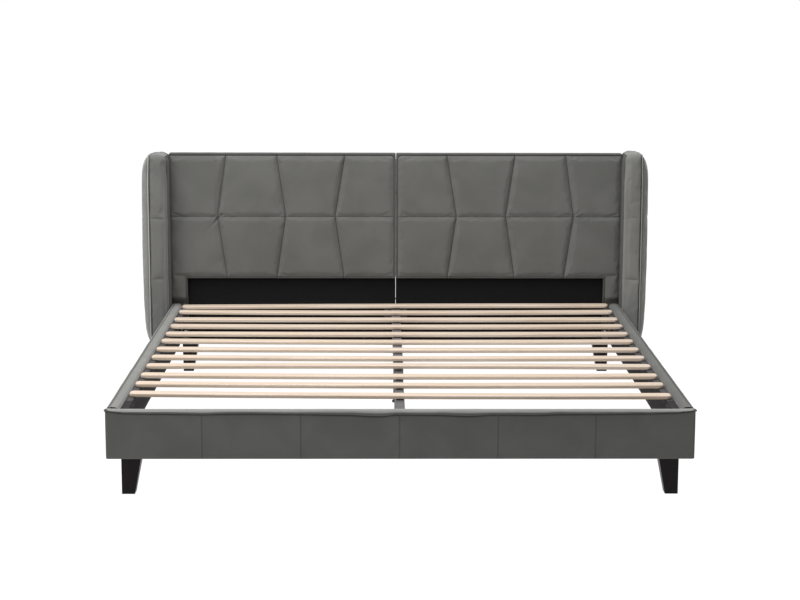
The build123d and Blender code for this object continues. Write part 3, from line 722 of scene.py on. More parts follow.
class BED_OT_headboard(Operator):
    """Makes the tufted pads of the headboard and the velvet over its top edge"""

    bl_idname = "bed.headboard"
    bl_label = "Headboard pads"

    def execute(self, context):
        for side_name, side in SIDES:
            self.make_pad(context, side_name, side)
            self.make_top(side_name, side)
        return {"FINISHED"}

    def make_pad(self, context, side_name, side):
        """One half's pad: panels blown up between their seams, then boxing and a back."""
        settings = context.scene.bed_padding
        layout = TuftLayout(settings.boxing)
        slab_front = TIMBER_FRONT - SLAB_THICKNESS
        crown = slab_front - PAD_LOW[1]
        roll = settings.roll_length

        def place(index, row):
            x, z = layout.point(index, row)
            upright, cross, border = layout.seam_distance(index, row)
            groove = max(
                SEAM_DEPTH * math.exp(-upright / roll), CROSS_SEAM_DEPTH * math.exp(-cross / (0.8 * roll)),
                BORDER_DEPTH * math.exp(-border / roll),
            )
            rise = crown - CROWN_START - groove
            if z < STILE_PAD_BOTTOM:
                rise = 0
            elif z < layout.bottom:
                rise *= smooth_step(STILE_PAD_BOTTOM, STILE_PAD_BOTTOM + STILE_PAD_RISE, z)
            x, z = round_corner(x, z, layout.inner, layout.top, PAD_CORNER_RADIUS)
            return Vector((x, slab_front - rise, z))

        sheet, spots = grid_sheet(layout.columns, layout.rows, place)
        stile_start = layout.starts[4]
        gone = [
            face for face in sheet.faces
            if all(spots[vert][1] <= STILE_ROWS for vert in face.verts)
            and any(spots[vert][0] < stile_start for vert in face.verts)
        ]
        bmesh.ops.delete(sheet, geom=gone, context="FACES")
        face_outwards(sheet, Vector((0, -1, 0)))
        sheet.verts.index_update()
        seam_columns = layout.starts[1:4]
        pinned, stitched = set(), set()
        for vert in sheet.verts:
            index, row = spots[vert]
            on_seam = row >= STILE_ROWS and (index in seam_columns or row == STILE_ROWS + TUFT_ROWS)
            if vert.is_boundary or on_seam or row < STILE_ROWS // 2:
                pinned.add(vert.index)
            if on_seam:
                stitched.add(vert.index)
        sheet = blow_up(sheet, pinned, cap=2 * MM)
        # Painted shade along the seams and in the gathers
        shades = {index: SEAM_CREASE for index in stitched}
        for vert in sheet.verts:
            if vert.index not in pinned:
                depth, shades[vert.index] = gather_depth(side, vert.co.x, vert.co.z)
                vert.co.y += depth
                vert.co.y += 0.7 * MM * mellow(vert.co, width=90 * MM, seed=side + 3)
            elif vert.index in stitched:
                vert.co.z += 1.2 * MM * mellow(vert.co, width=110 * MM, seed=side + 5)
        paint_crease_shade(sheet, lambda vert: shades.get(vert.index, 0.0))
        self.close_back(sheet, settings.boxing)
        if side < 0:
            mirrored(sheet)
        refine(keep_pad(
            f"tufted_pad_{side_name}", 0.8, sheet, polyester_velvet("headboard"), polyester_velvet("boxing"),
            replaced=f"headboard_pad_{side_name}",
        ))

    def close_back(self, sheet, boxing):
        """Sews the boxing round the front sheet and closes the pad behind."""
        edges = [edge for edge in sheet.edges if edge.is_boundary]
        directions = border_directions(edges)
        bases = {vert: vert.co.copy() for vert in directions}
        for vert, direction in directions.items():
            if vert.co.z < PAD_LOW[2] + 1 * MM:
                direction.z = 0
        layer = sheet.verts.layers.float["crease"]
        for share, depth in BOXING_RINGS:
            def offset(old):
                base, direction = bases[old], directions[old]
                moved = base + direction * boxing * share
                if base.x + direction.x * boxing < PAD_LOW[0] + 0.5 * MM:
                    moved.x -= 0.8 * MM * share
                moved.y = TIMBER_FRONT - 0.5 * MM if depth is None else base.y + depth
                return moved
            edges, partners = extrude_border(sheet, edges, offset)
            for edge in edges:
                for face in edge.link_faces:
                    # The outer rings take the darker boxing velvet with little sheen, painted shade
                    face.material_index = 1 if share > 0.5 else 0
            for new in partners:
                on_top = new.co.z > PAD_HIGH[2] - 1.1 * boxing
                behind = TOP_RING_CREASE if on_top else SIDE_RING_CREASE
                new[layer] = FRONT_RING_CREASE if share < 0.5 else behind
            bases = {new: bases[old] for new, old in partners.items()}
            directions = {new: directions[old] for new, old in partners.items()}
        close_hole(sheet, edges)
        bmesh.ops.recalc_face_normals(sheet, faces=sheet.faces)

    def make_top(self, side_name, side):
        """The velvet over the top of the frame, with its lip behind the boxing at the halves' joint."""
        low = Vector((PAD_LOW[0] + JOINT_GAP, TIMBER_FRONT - TOP_LAP, PAD_HIGH[2] - TOP_REACH))
        high = Vector((PAD_HIGH[0] - JOINT_GAP, PAD_HIGH[1], PAD_HIGH[2]))
        top = bmesh.new()
        add_box(top, (low + high) / 2, high - low)
        bmesh.ops.bevel(
            top, geom=top.edges[:], offset=4 * MM, segments=3, profile=0.5, affect="EDGES", material=-1
        )
        long_edges = [edge for edge in top.edges if abs((edge.verts[0].co - edge.verts[1].co).x) > 0.5]
        bmesh.ops.subdivide_edges(top, edges=long_edges, cuts=90, use_grid_fill=True)
        for vert in top.verts:
            if vert.co.z > PAD_HIGH[2] - 3 * MM:
                vert.co.z += 0.5 * MM * mellow(vert.co, width=60 * MM, seed=side + 9) - 0.5 * MM
        lip_low = Vector((PAD_LOW[0] + JOINT_GAP, TIMBER_FRONT - 1.6 * MM, PAD_HIGH[2] - LIP_REACH))
        lip_high = Vector((PAD_LOW[0] + LIP_WIDTH, TIMBER_FRONT - 0.2 * MM, PAD_HIGH[2] - 5 * MM))
        add_box(top, (lip_low + lip_high) / 2, lip_high - lip_low)
        if side < 0:
            mirrored(top)
        # The top takes the darker boxing velvet, painted shade along the top edge
        keep_pad(f"headboard_top_{side_name}", 0.9, top, polyester_velvet("boxing"))


# Wings ----------------------------------------------------------------------

WING_SEAM_HEIGHTS = (450 * MM, 726 * MM)
WING_SEAM_WIDTH = 2 * MM
# How far the outer panel bulges at a height
WING_BULGE = tuple((height * MM, bulge * MM) for height, bulge in (
    (150, 0), (165, 12), (185, 19), (222, 24), (265, 27), (355, 30), (535, 32), (713, 31), (890, 29),
    (935, 27), (957, 24), (980, 18), (1000, 10), (1018, 0),
))
# The left wing of the photographed bed stands a little lower and wider
WING_TOP_DROP = {1: 0, -1: 8 * MM}
WING_WIDTH = {1: 75 * MM, -1: 80 * MM}
WING_FULLNESS = {1: 1.1, -1: 1.14}
# Cuts across the box's depth, height and width
WING_CUTS = ((2, 96), (1, 20), (0, 15))
# Painted shade along the wing's rim beside the piping and along its seams
RIM_CREASE = 0.85
WING_SEAM_CREASE = 0.07


class BED_OT_wings(Operator):
    """Makes the padded wings with their bulging outer panels and piping"""

    bl_idname = "bed.wings"
    bl_label = "Wings"

    def execute(self, context):
        for side_name, side in SIDES:
            self.make_wing(context, side_name, side)
        return {"FINISHED"}

    def shape(self, point, low, high):
        """Rounds a point of the wing's box towards the wing's real section."""
        near_top = smooth_step(high.z - 130 * MM, high.z - 20 * MM, point.z)
        near_bottom = 1 - smooth_step(low.z + 10 * MM, low.z + 60 * MM, point.z)
        inner = point.x < (low.x + high.x) / 2
        front = point.y < (low.y + high.y) / 2
        radii = Vector((
            (3 + 26 * near_top) * MM if inner else (4 + 10 * near_top + 4 * near_bottom) * MM,
            (12 + 6 * near_top + 10 * near_bottom) * MM if front else 5 * MM,
            (26 if inner else 20) * MM if point.z > (low.z + high.z) / 2 else 10 * MM,
        ))
        core = Vector((
            min(max(point[axis], low[axis] + radii[axis]), high[axis] - radii[axis]) for axis in range(3)
        ))
        excess = Vector(((point[axis] - core[axis]) / radii[axis] for axis in range(3)))
        if excess.length > 1e-9:
            longest = max(abs(part) for part in excess)
            excess *= longest / excess.length
        return Vector((core[axis] + excess[axis] * radii[axis] for axis in range(3)))

    def make_wing(self, context, side_name, side):
        """One wing: a rounded box, its outer panel bulged, blown up between its seams."""
        low = Vector(WING_LOW) - Vector((0, 0, 1.5 * MM))
        high = Vector((WING_LOW[0] + WING_WIDTH[side], WING_HIGH[1], WING_HIGH[2] - WING_TOP_DROP[side]))
        middle, size = (low + high) / 2, high - low
        wing = bmesh.new()
        add_box(wing, middle, size)
        for axis, cuts in WING_CUTS:
            along = [
                edge for edge in wing.edges
                if abs((edge.verts[0].co - edge.verts[1].co).normalized()[axis]) > 0.9
            ]
            bmesh.ops.subdivide_edges(wing, edges=along, cuts=cuts, use_grid_fill=True)
        for height in WING_SEAM_HEIGHTS:
            for offset in (-WING_SEAM_WIDTH, 0, WING_SEAM_WIDTH):
                bmesh.ops.bisect_plane(
                    wing, geom=wing.verts[:] + wing.edges[:] + wing.faces[:],
                    plane_co=(0, 0, height + offset), plane_no=(0, 0, 1),
                )
        wing.verts.ensure_lookup_table()
        outer = [vert.co.x > high.x - 0.1 * MM for vert in wing.verts]
        rim = []
        for number, vert in enumerate(wing.verts):
            from_edge = min(
                min(abs(vert.co[axis] - low[axis]), abs(vert.co[axis] - high[axis])) for axis in (1, 2)
            )
            if outer[number] and from_edge < 0.1 * MM:
                away = vert.co - middle
                rim.append((math.atan2(away.z / size.z, away.y / size.y), number))
        edge_outer = {number for _, number in rim}
        shades, inner = {number: RIM_CREASE for number in edge_outer}, set()
        for number, vert in enumerate(wing.verts):
            raw = vert.co.copy()
            if not outer[number] and raw.x > high.x - 5 * MM:
                shades[number] = RIM_CREASE
            elif raw.x < low.x + 0.1 * MM and raw.y > low.y + 16 * MM:
                inner.add(number)
            vert.co = self.shape(raw, low, high)
            if outer[number]:
                across = (raw.y - low.y) / (high.y - low.y)
                across_share = max(1 - abs(2 * across - 1) ** 2.6, 0) ** 0.6
                vert.co.x += follow_table(WING_BULGE, raw.z) * across_share * WING_FULLNESS[side]
        bmesh.ops.recalc_face_normals(wing, faces=wing.faces)
        wing.verts.index_update()
        # The inner face takes a darker velvet with little sheen, painted shade in the corner by the
        # headboard; the outer panel takes a lighter one, painted light where it turns to the lamps
        for face in wing.faces:
            if all(vert.index in inner for vert in face.verts):
                face.material_index = 1
            elif all(outer[vert.index] for vert in face.verts):
                face.material_index = 2
        pinned = {
            number for number, vert in enumerate(wing.verts)
            if number in edge_outer or vert.co.y > high.y - 6 * MM or vert.co.z < low.z + 2 * MM
        }
        wing = blow_up(wing, pinned, cap=4 * MM, pressure_share=0.8)
        wing.verts.ensure_lookup_table()
        for vert in wing.verts:
            for height in WING_SEAM_HEIGHTS:
                vert.co -= vert.normal * 0.15 * MM * bell(vert.co.z - height, WING_SEAM_WIDTH)
            if vert.co.y < high.y - 10 * MM:
                vert.co += vert.normal * 0.6 * MM * mellow(vert.co, width=80 * MM, seed=side + 21)
        paint_crease_shade(wing, lambda vert: max(
            shades.get(vert.index, 0.0),
            *(WING_SEAM_CREASE * bell(vert.co.z - height, 1.5 * MM) for height in WING_SEAM_HEIGHTS),
        ))
        welt_line = [wing.verts[number].co.copy() for _, number in sorted(rim)]
        if side < 0:
            for place in welt_line:
                place.x = -place.x
            mirrored(wing)
        refine(keep_pad(
            f"padded_wing_{side_name}", 0.85, wing, polyester_velvet(f"wing_{side_name}"),
            polyester_velvet("wing_inside"), polyester_velvet(f"wing_outside_{side_name}"),
            replaced=f"wing_cover_{side_name}",
        ))
        self.make_piping(context.scene.bed_padding.piping_radius, side_name, side, welt_line)

    def make_piping(self, radius, side_name, side, welt_line):
        """The piping that lies on the seam between the wing's strip and its outer panel."""
        line = [welt_line[0]]
        for place in welt_line[1:]:
            if (place - line[-1]).length > 3 * MM:
                line.append(place)
        for _ in range(3):
            following = line[1:] + line[:1]
            line = [(line[turn - 1] + 2 * line[turn] + following[turn]) / 4 for turn in range(len(line))]
        line = [place + Vector((side * radius * 1.1, -radius * 0.6, 0)) for place in line]
        name = f"wing_piping_{side_name}"
        # The piping's velvet is painted lighter, a painted highlight along the welt
        piece = keep_piece(name, piping(line, radius, name), polyester_velvet(f"piping_{side_name}"))


# Rails ----------------------------------------------------------------------

RAIL_THICKNESS = FOOT_HIGH[1] - FOOT_LOW[1]
FOOT_SEAMS = tuple(place * MM for place in (-687, -346, -4, 337, 675))
# How far below the rail's top the foot rail's welt hangs, along its length
FOOT_WELT_DROP = tuple((place * MM, drop * MM) for place, drop in (
    (-1020, 3), (-990, 9), (-950, 13), (-850, 15), (-687, 17), (-520, 15), (-346, 17), (-200, 20),
    (-75, 25), (-4, 18), (120, 20), (230, 24), (337, 18), (470, 20), (560, 17), (675, 16), (850, 14),
    (950, 11), (990, 7), (1020, 2),
))
SIDE_WELT_DROP = 9 * MM
INNER_RADIUS = 18 * MM
ROLL_DEPTH = 13 * MM
ROLL_TURN = math.radians(140)
WELT_INSET = 3 * MM
FACE_BOW = 2 * MM
VELVET_THICKNESS = 1.2 * MM
PILE_DROP = 2.2 * MM
PILE_TOP = RAIL_TOP - PILE_DROP
# Painted shade at the foot rail's welt and the two rows under it, and at its upright seams
WELT_CREASES = (1.0, 0.8, 0.3)
UPRIGHT_SEAM_CREASE = 0.42
END_SHARPNESS = 0.85
# Rows of the roll that get the top's painted light
LIT_ROLL_ROWS = 5


def rail_section(drop):
    """Depth, height and part of a cover's points, from the inner lap over the top to the underside."""
    lap_top = (LAP_EDGE + PILE_TOP - INNER_RADIUS) / 2
    points = [(RAIL_THICKNESS, LAP_EDGE, "lap"), (RAIL_THICKNESS, lap_top, "lap")]
    for step in range(5):
        angle = math.pi / 2 * step / 4
        depth = RAIL_THICKNESS - INNER_RADIUS * (1 - math.cos(angle))
        points.append((depth, PILE_TOP - INNER_RADIUS * (1 - math.sin(angle)), "top"))
    for step in range(1, 5):
        inwards = step / 5 * (RAIL_THICKNESS - INNER_RADIUS - ROLL_DEPTH)
        points.append((RAIL_THICKNESS - INNER_RADIUS - inwards, PILE_TOP, "top"))
    half = max(drop - PILE_DROP, 1 * MM) / (1 - math.cos(ROLL_TURN))
    for step in range(8):
        angle = ROLL_TURN * step / 7
        depth = ROLL_DEPTH - ROLL_DEPTH * math.sin(angle)
        points.append((depth, PILE_TOP - half * (1 - math.cos(angle)), "roll"))
    welt = RAIL_TOP - drop
    points[-1] = (WELT_INSET, welt, "welt")
    for step in range(1, 22):
        share = crowd(step / 22, "both", 0.7)
        height = welt - share * (welt - RAIL_BOTTOM)
        tuck = (WELT_INSET + 0.5 * MM) * math.exp(-(welt - height) / (5 * MM))
        points.append((tuck + FACE_BOW * (2 * share - 1) ** 2, height, "face"))
    points.append((FACE_BOW + 1.5 * MM, RAIL_BOTTOM + 0.5 * MM, "under"))
    points.append((FACE_BOW + 5 * MM, RAIL_BOTTOM, "under"))
    points.append((12 * MM, RAIL_BOTTOM, "under"))
    return points


def rail_sheet(stations, drop_at, to_place):
    """The sheet of a rail cover through a section at each station along it, and its rows' parts."""
    sections = [rail_section(drop_at(station)) for station in stations]

    def place(index, row):
        depth, height, _ = sections[index][row]
        return to_place(stations[index], depth, height)

    sheet, spots = grid_sheet(len(stations) - 1, len(sections[0]) - 1, place)
    return sheet, spots, [part for _, _, part in sections[0]]


def spaced(start, end, stops, step, tight):
    """Stations from start to end, about a step apart, crowded beside each stop."""
    marks = [start, *stops, end]
    stations = [start]
    for low, high in zip(marks, marks[1:]):
        count = max(3, round((high - low) / step))
        stations += [low + (high - low) * crowd(turn / count, "both", tight) for turn in range(1, count + 1)]
    return stations


def keep_rail_cover(name, sheet, *finishes, replaced):
    """Keeps a rail's padded cover and gives its velvet a thickness."""
    cover = keep_pad(name, 0.8, sheet, *finishes, replaced=replaced)
    add_modifier(cover, "SOLIDIFY", thickness=VELVET_THICKNESS, offset=-1)
    refine(cover)


class BED_OT_foot_rail(Operator):
    """Makes the foot rail's padded cover, with its sagging welt, upright seams and gathered corners"""

    bl_idname = "bed.foot_rail"
    bl_label = "Foot rail"

    def execute(self, context):
        half = FOOT_HIGH[0]
        stations = spaced(-half, half, FOOT_SEAMS, 13 * MM, 0.7)
        sheet, spots, parts = rail_sheet(
            stations, lambda x: follow_table(FOOT_WELT_DROP, x),
            lambda x, depth, height: Vector((x, FOOT_LOW[1] + depth, height)),
        )
        seam_columns = {
            min(range(len(stations)), key=lambda turn: abs(stations[turn] - seam)) for seam in FOOT_SEAMS
        }
        self.round_corners(sheet, half)
        # The top and the upper roll take a lighter velvet, painted light where they face up to the lamps
        lit_top_rows = {row for row, part in enumerate(parts) if part in ("lap", "top")}
        roll_row, welt_row = parts.index("roll"), parts.index("welt")
        lit_top_rows |= set(range(roll_row, roll_row + LIT_ROLL_ROWS))
        for face in sheet.faces:
            if all(spots[vert][1] in lit_top_rows for vert in face.verts):
                face.material_index = 1
        face_outwards(sheet, Vector((0, -1, 0.4)))
        sheet.verts.index_update()
        pinned, stitched = set(), {}
        for vert in sheet.verts:
            index, row = spots[vert]
            on_seam = index in seam_columns and row > welt_row
            if parts[row] in ("lap", "welt", "under") or vert.is_boundary or on_seam:
                pinned.add(vert.index)
            if on_seam and parts[row] == "face":
                stitched[vert.index] = UPRIGHT_SEAM_CREASE
                vert.co.y += 1.6 * MM
            if welt_row <= row < welt_row + len(WELT_CREASES):
                stitched[vert.index] = WELT_CREASES[row - welt_row]
        sheet = blow_up(sheet, pinned, cap=2 * MM, pressure_share=0.6, stretch=0.002)
        for vert in sheet.verts:
            if vert.index not in pinned:
                vert.co.y -= 0.5 * MM * mellow(vert.co, width=70 * MM, seed=31)
        paint_crease_shade(sheet, lambda vert: stitched.get(vert.index, 0.0))
        self.close_ends(sheet, half)
        keep_rail_cover(
            "foot_rail_velvet", sheet, polyester_velvet("foot_rail"), polyester_velvet("foot_top"),
            replaced="foot_rail_cover",
        )
        self.make_knots(half)
        return {"FINISHED"}

    def round_corners(self, sheet, half):
        """Rounds the upright corners of the cover."""
        radius = 7 * MM
        for vert in sheet.verts:
            past = abs(vert.co.x) - (half - radius)
            if past > 0 and vert.co.y < FOOT_LOW[1] + radius:
                share = min(past / radius, 1)
                vert.co.y += radius * (1 - math.sqrt(max(1 - share * share, 0))) * 0.8

    def close_ends(self, sheet, half):
        """Closes each end of the cover with a flat end panel."""
        sharp = sheet.edges.layers.float.new("crease_edge")
        for end in (-1, 1):
            edges = [
                edge for edge in sheet.edges
                if edge.is_boundary and all(end * vert.co.x > half - 0.5 * MM for vert in edge.verts)
            ]
            for edge in edges:
                edge[sharp] = END_SHARPNESS
            close_hole(sheet, edges)

    def make_knots(self, half):
        """The gathered corner where the top's welt meets the side rail's."""
        for side_name, side in SIDES:
            knot = bmesh.new()
            centre = Vector((side * (half - 2 * MM), FOOT_LOW[1] + 4 * MM, RAIL_TOP - 4 * MM))
            bmesh.ops.create_icosphere(
                knot, subdivisions=3, radius=6.5 * MM,
                matrix=Matrix.LocRotScale(centre, None, Vector((1.0, 0.9, 0.85))),
            )
            for vert in knot.verts:
                vert.co += vert.normal * 1.2 * MM * mellow(vert.co, width=6 * MM, seed=41)
            keep_pad(f"corner_gather_{side_name}", 1.0, knot, polyester_velvet("foot_rail"))


class BED_OT_side_rails(Operator):
    """Makes the side rails' padded covers"""

    bl_idname = "bed.side_rails"
    bl_label = "Side rails"

    def execute(self, context):
        for side_name, side in SIDES:
            self.make_cover(side_name, side)
        return {"FINISHED"}

    def make_cover(self, side_name, side):
        """One side's cover, with a seam sunk in its top and the foot rail's welt carried along it."""
        stations = spaced(SIDE_LOW[1], SIDE_HIGH[1], (), 16 * MM, 0.0)
        sheet, spots, parts = rail_sheet(
            stations, lambda y: SIDE_WELT_DROP + 1.2 * MM * mellow((y, side, 0), width=160 * MM, seed=51),
            lambda y, depth, height: Vector((SIDE_HIGH[0] - depth, y, height)),
        )
        face_outwards(sheet, Vector((1, 0, 0.4)))
        sheet.verts.index_update()
        welt_row, top_seam = parts.index("welt"), parts.index("roll") + 1
        # Painted shade at the welt, at the seam sunk in the top, and on the rows beside them
        shades = {welt_row: 0.8, welt_row + 1: 0.45, top_seam: 1.0, top_seam + 1: 0.5}
        pinned, stitched = set(), {}
        for vert in sheet.verts:
            row = spots[vert][1]
            if parts[row] in ("lap", "welt", "under") or vert.is_boundary or row == top_seam:
                pinned.add(vert.index)
            if row in shades:
                stitched[vert.index] = shades[row]
            if row == top_seam:
                vert.co.z -= 2.2 * MM
        sheet = blow_up(sheet, pinned, cap=1.6 * MM, pressure_share=0.5, stretch=0.0)
        for vert in sheet.verts:
            if vert.index not in pinned:
                vert.co.z += 0.7 * MM * mellow(vert.co, width=90 * MM, seed=61 + side)
                vert.co.x += 0.7 * MM * mellow(vert.co, width=110 * MM, seed=65 + side)
        paint_crease_shade(sheet, lambda vert: stitched.get(vert.index, 0.0))
        if side < 0:
            mirrored(sheet)
        # Each side's velvet is painted lighter or darker for the light that falls on it
        keep_rail_cover(
            f"side_rail_velvet_{side_name}", sheet, polyester_velvet(f"side_{side_name}"),
            replaced=f"side_rail_cover_{side_name}",
        )


# Hard pieces ----------------------------------------------------------------

def paint_nodes(*rules):
    """Gives each CAD node the material of the first rule whose pattern its name fits."""
    for node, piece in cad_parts.items():
        for pattern, material in rules:
            if fnmatch(node, pattern):
                piece.data.materials.clear()
                piece.data.materials.append(material)
                break


class BED_OT_legs(Operator):
    """Makes the tapered corner legs with eased edges"""

    bl_idname = "bed.legs"
    bl_label = "Corner legs"

    def execute(self, context):
        for end, outward in (("front", -1), ("rear", 1)):
            for side_name, side in SIDES:
                self.make_leg(f"leg_{end}_{side_name}", {0: side, 1: outward})
        return {"FINISHED"}

    def make_leg(self, node, outward):
        """One leg, straight outside and tapered inside, towards the bed's middle, in both directions."""
        low, high = (Vector(corner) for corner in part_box(node))
        middle, taper = (low + high) / 2, 27 * MM
        leg = bmesh.new()
        add_box(leg, middle, high - low)
        for vert in leg.verts:
            if vert.co.z < low.z + 1 * MM:
                for axis, sign in outward.items():
                    if vert.co[axis] * sign < middle[axis] * sign:
                        vert.co[axis] += sign * taper
        bmesh.ops.bevel(
            leg, geom=leg.edges[:], offset=2 * MM, segments=3, profile=0.5, affect="EDGES", material=-1
        )
        piece = keep_piece(f"tapered_{node}", leg, black_lacquer(), replaced=node)
        add_modifier(piece, "WEIGHTED_NORMAL", keep_sharp=False)


class BED_OT_slats(Operator):
    """Finishes the birch slats and makes the tape that they are stapled to"""

    bl_idname = "bed.slats"
    bl_label = "Slats"

    def execute(self, context):
        paint_nodes(("slat_[0-9]*", birch_veneer()))
        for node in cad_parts:
            if node.startswith("slat_webbing"):
                self.make_tape(node)
        return {"FINISHED"}

    def make_tape(self, node):
        """A woven tape along the ledger, with a slight ripple between the slats."""
        low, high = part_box(node)
        columns, rows = 4, 240

        def place(column, row):
            ripple = 0.25 * MM * (1 + mellow((column, row * 0.3, 0), width=2.0, seed=71))
            return Vector((
                low[0] + (high[0] - low[0]) * column / columns, low[1] + (high[1] - low[1]) * row / rows,
                high[2] - 0.1 * MM - ripple,
            ))

        tape, _ = grid_sheet(columns, rows, place)
        face_outwards(tape, Vector((0, 0, 1)))
        piece = keep_piece(f"woven_{node}", tape, woven_tape(), replaced=node)
        add_modifier(piece, "SOLIDIFY", thickness=0.8 * MM, offset=-1)


class BED_OT_boards(Operator):
    """Finishes the boards and timbers, and makes the linings and the staples of the back"""

    bl_idname = "bed.boards"
    bl_label = "Boards and linings"

    def execute(self, context):
        black = nonwoven_cloth("black_nonwoven", "#040404", "#080708")
        ledger = nonwoven_cloth("ledger_nonwoven", "#1C191B", "#262325")
        paint_nodes(
            ("headboard_board*", black), ("headboard_back*", black), ("headboard_frame*", black),
            ("side_ledger*", ledger), ("*_rail_board*", planed_pine()), ("corner_block*", planed_pine()),
            ("wing_frame*", planed_pine()),
        )
        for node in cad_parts:
            if "lining" in node:
                self.make_lining(node)
        for side_name, _ in SIDES:
            self.make_staples(side_name)
        return {"FINISHED"}

    def make_lining(self, node):
        """A cloth lining stapled flat to the inside of a rail, with a slight ripple."""
        low, high = (Vector(corner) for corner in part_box(node))
        across = 1 if node.startswith("foot") else 0
        along = 1 - across
        inward = -1 if node.endswith("right") else 1
        face = high[across] if inward > 0 else low[across]
        room = high[across] - low[across]
        columns, rows = 150, 8

        def place(column, row):
            spot = Vector((0, 0, low.z + (high.z - low.z) * row / rows))
            spot[along] = low[along] + (high[along] - low[along]) * column / columns
            ripple = 0.12 * room * (1 + mellow((column * 0.3, row, 0), width=2.0, seed=81))
            spot[across] = face - inward * ripple
            return spot

        cloth, _ = grid_sheet(columns, rows, place)
        outwards = Vector((0, 0, 0))
        outwards[across] = inward
        face_outwards(cloth, outwards)
        spunbond = nonwoven_cloth("lining_nonwoven", "#151214", "#1E1A1D")
        piece = keep_piece(f"stapled_{node}", cloth, spunbond, replaced=node)
        add_modifier(piece, "SOLIDIFY", thickness=0.5 * room, offset=-1)

    def make_staples(self, side_name):
        """The row of staples round a back panel."""
        low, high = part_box(f"headboard_back_{side_name}")
        margin, step = 12 * MM, 60 * MM
        crown, wire, leg = 10 * MM, 1.1 * MM, 0.9 * MM
        left, right, bottom, top = low[0] + margin, high[0] - margin, low[2] + margin, high[2] - margin
        count_x, count_z = round((right - left) / step), round((top - bottom) / step)
        spots = []
        for turn in range(count_x + 1):
            x = left + turn * (right - left) / count_x
            spots += [(x, bottom, True), (x, top, True)]
        for turn in range(1, count_z):
            z = bottom + turn * (top - bottom) / count_z
            spots += [(left, z, False), (right, z, False)]
        staples = bmesh.new()
        for x, z, level in spots:
            size = (crown, leg, wire) if level else (wire, leg, crown)
            add_box(staples, Vector((x, high[1] + 0.2 * MM, z)), Vector(size))
        piece = keep_piece(f"back_staples_{side_name}", staples, zinc_plate(), smooth=False)


class BED_OT_metalwork(Operator):
    """Finishes the centre rail, its legs and feet, and the brackets, bolts and screws"""

    bl_idname = "bed.metalwork"
    bl_label = "Centre rail and fixings"

    def execute(self, context):
        tube = powder_coat("satin_grey_powder_coat", "#444245", "#4C4A4D")
        dark_tube = powder_coat("satin_black_powder_coat", "#1E1E1F", "#29292A")
        phosphated = powder_coat("black_phosphated_steel", "#161616", "#202020", roughness=0.55)
        paint_nodes(
            ("centre_rail*", tube), ("centre_leg*", dark_tube), ("levelling_foot*", moulded_nylon()),
            ("ledger_screws", phosphated), ("centre_bracket*", dark_tube), ("rail_angle*", dark_tube),
            ("*bolts", zinc_plate()), ("*screws", zinc_plate()),
        )
        return {"FINISHED"}


# Stage ----------------------------------------------------------------------

CAMERA_PLACE = (-73.08 * MM, -7216.29 * MM, 1778.84 * MM)
CAMERA_PITCH = 0.173299
CAMERA_YAW = 0.0113094
CAMERA_ROLL = 0.00250704
CAMERA_LENS = 82.0786
CAMERA_SENSOR = 36
WHITE = (1, 1, 1, 1)
FLOOR_COLOUR = (0.8, 0.8, 0.8, 1)
# Place, width and the setting that gives the power of each lamp, and the point that all look at
LAMPS = (("key", (-4.6, -3.4, 3.6), 2.4, "key_power"), ("top", (-0.5, -0.4, 4.0), 3.0, "top_power"))
LAMP_TARGET = (0, 0, 0.4)


def seen_rays(tree):
    """1 for the rays that show the backdrop: the camera's, and those that gloss and glass send on."""
    path = add_node(tree, "ShaderNodeLightPath", {})
    total = path.outputs["Is Camera Ray"]
    for kind in ("Is Glossy Ray", "Is Transmission Ray"):
        total = add_node(tree, "ShaderNodeMath", {"operation": "MAXIMUM", 0: total, 1: path.outputs[kind]})
    return total


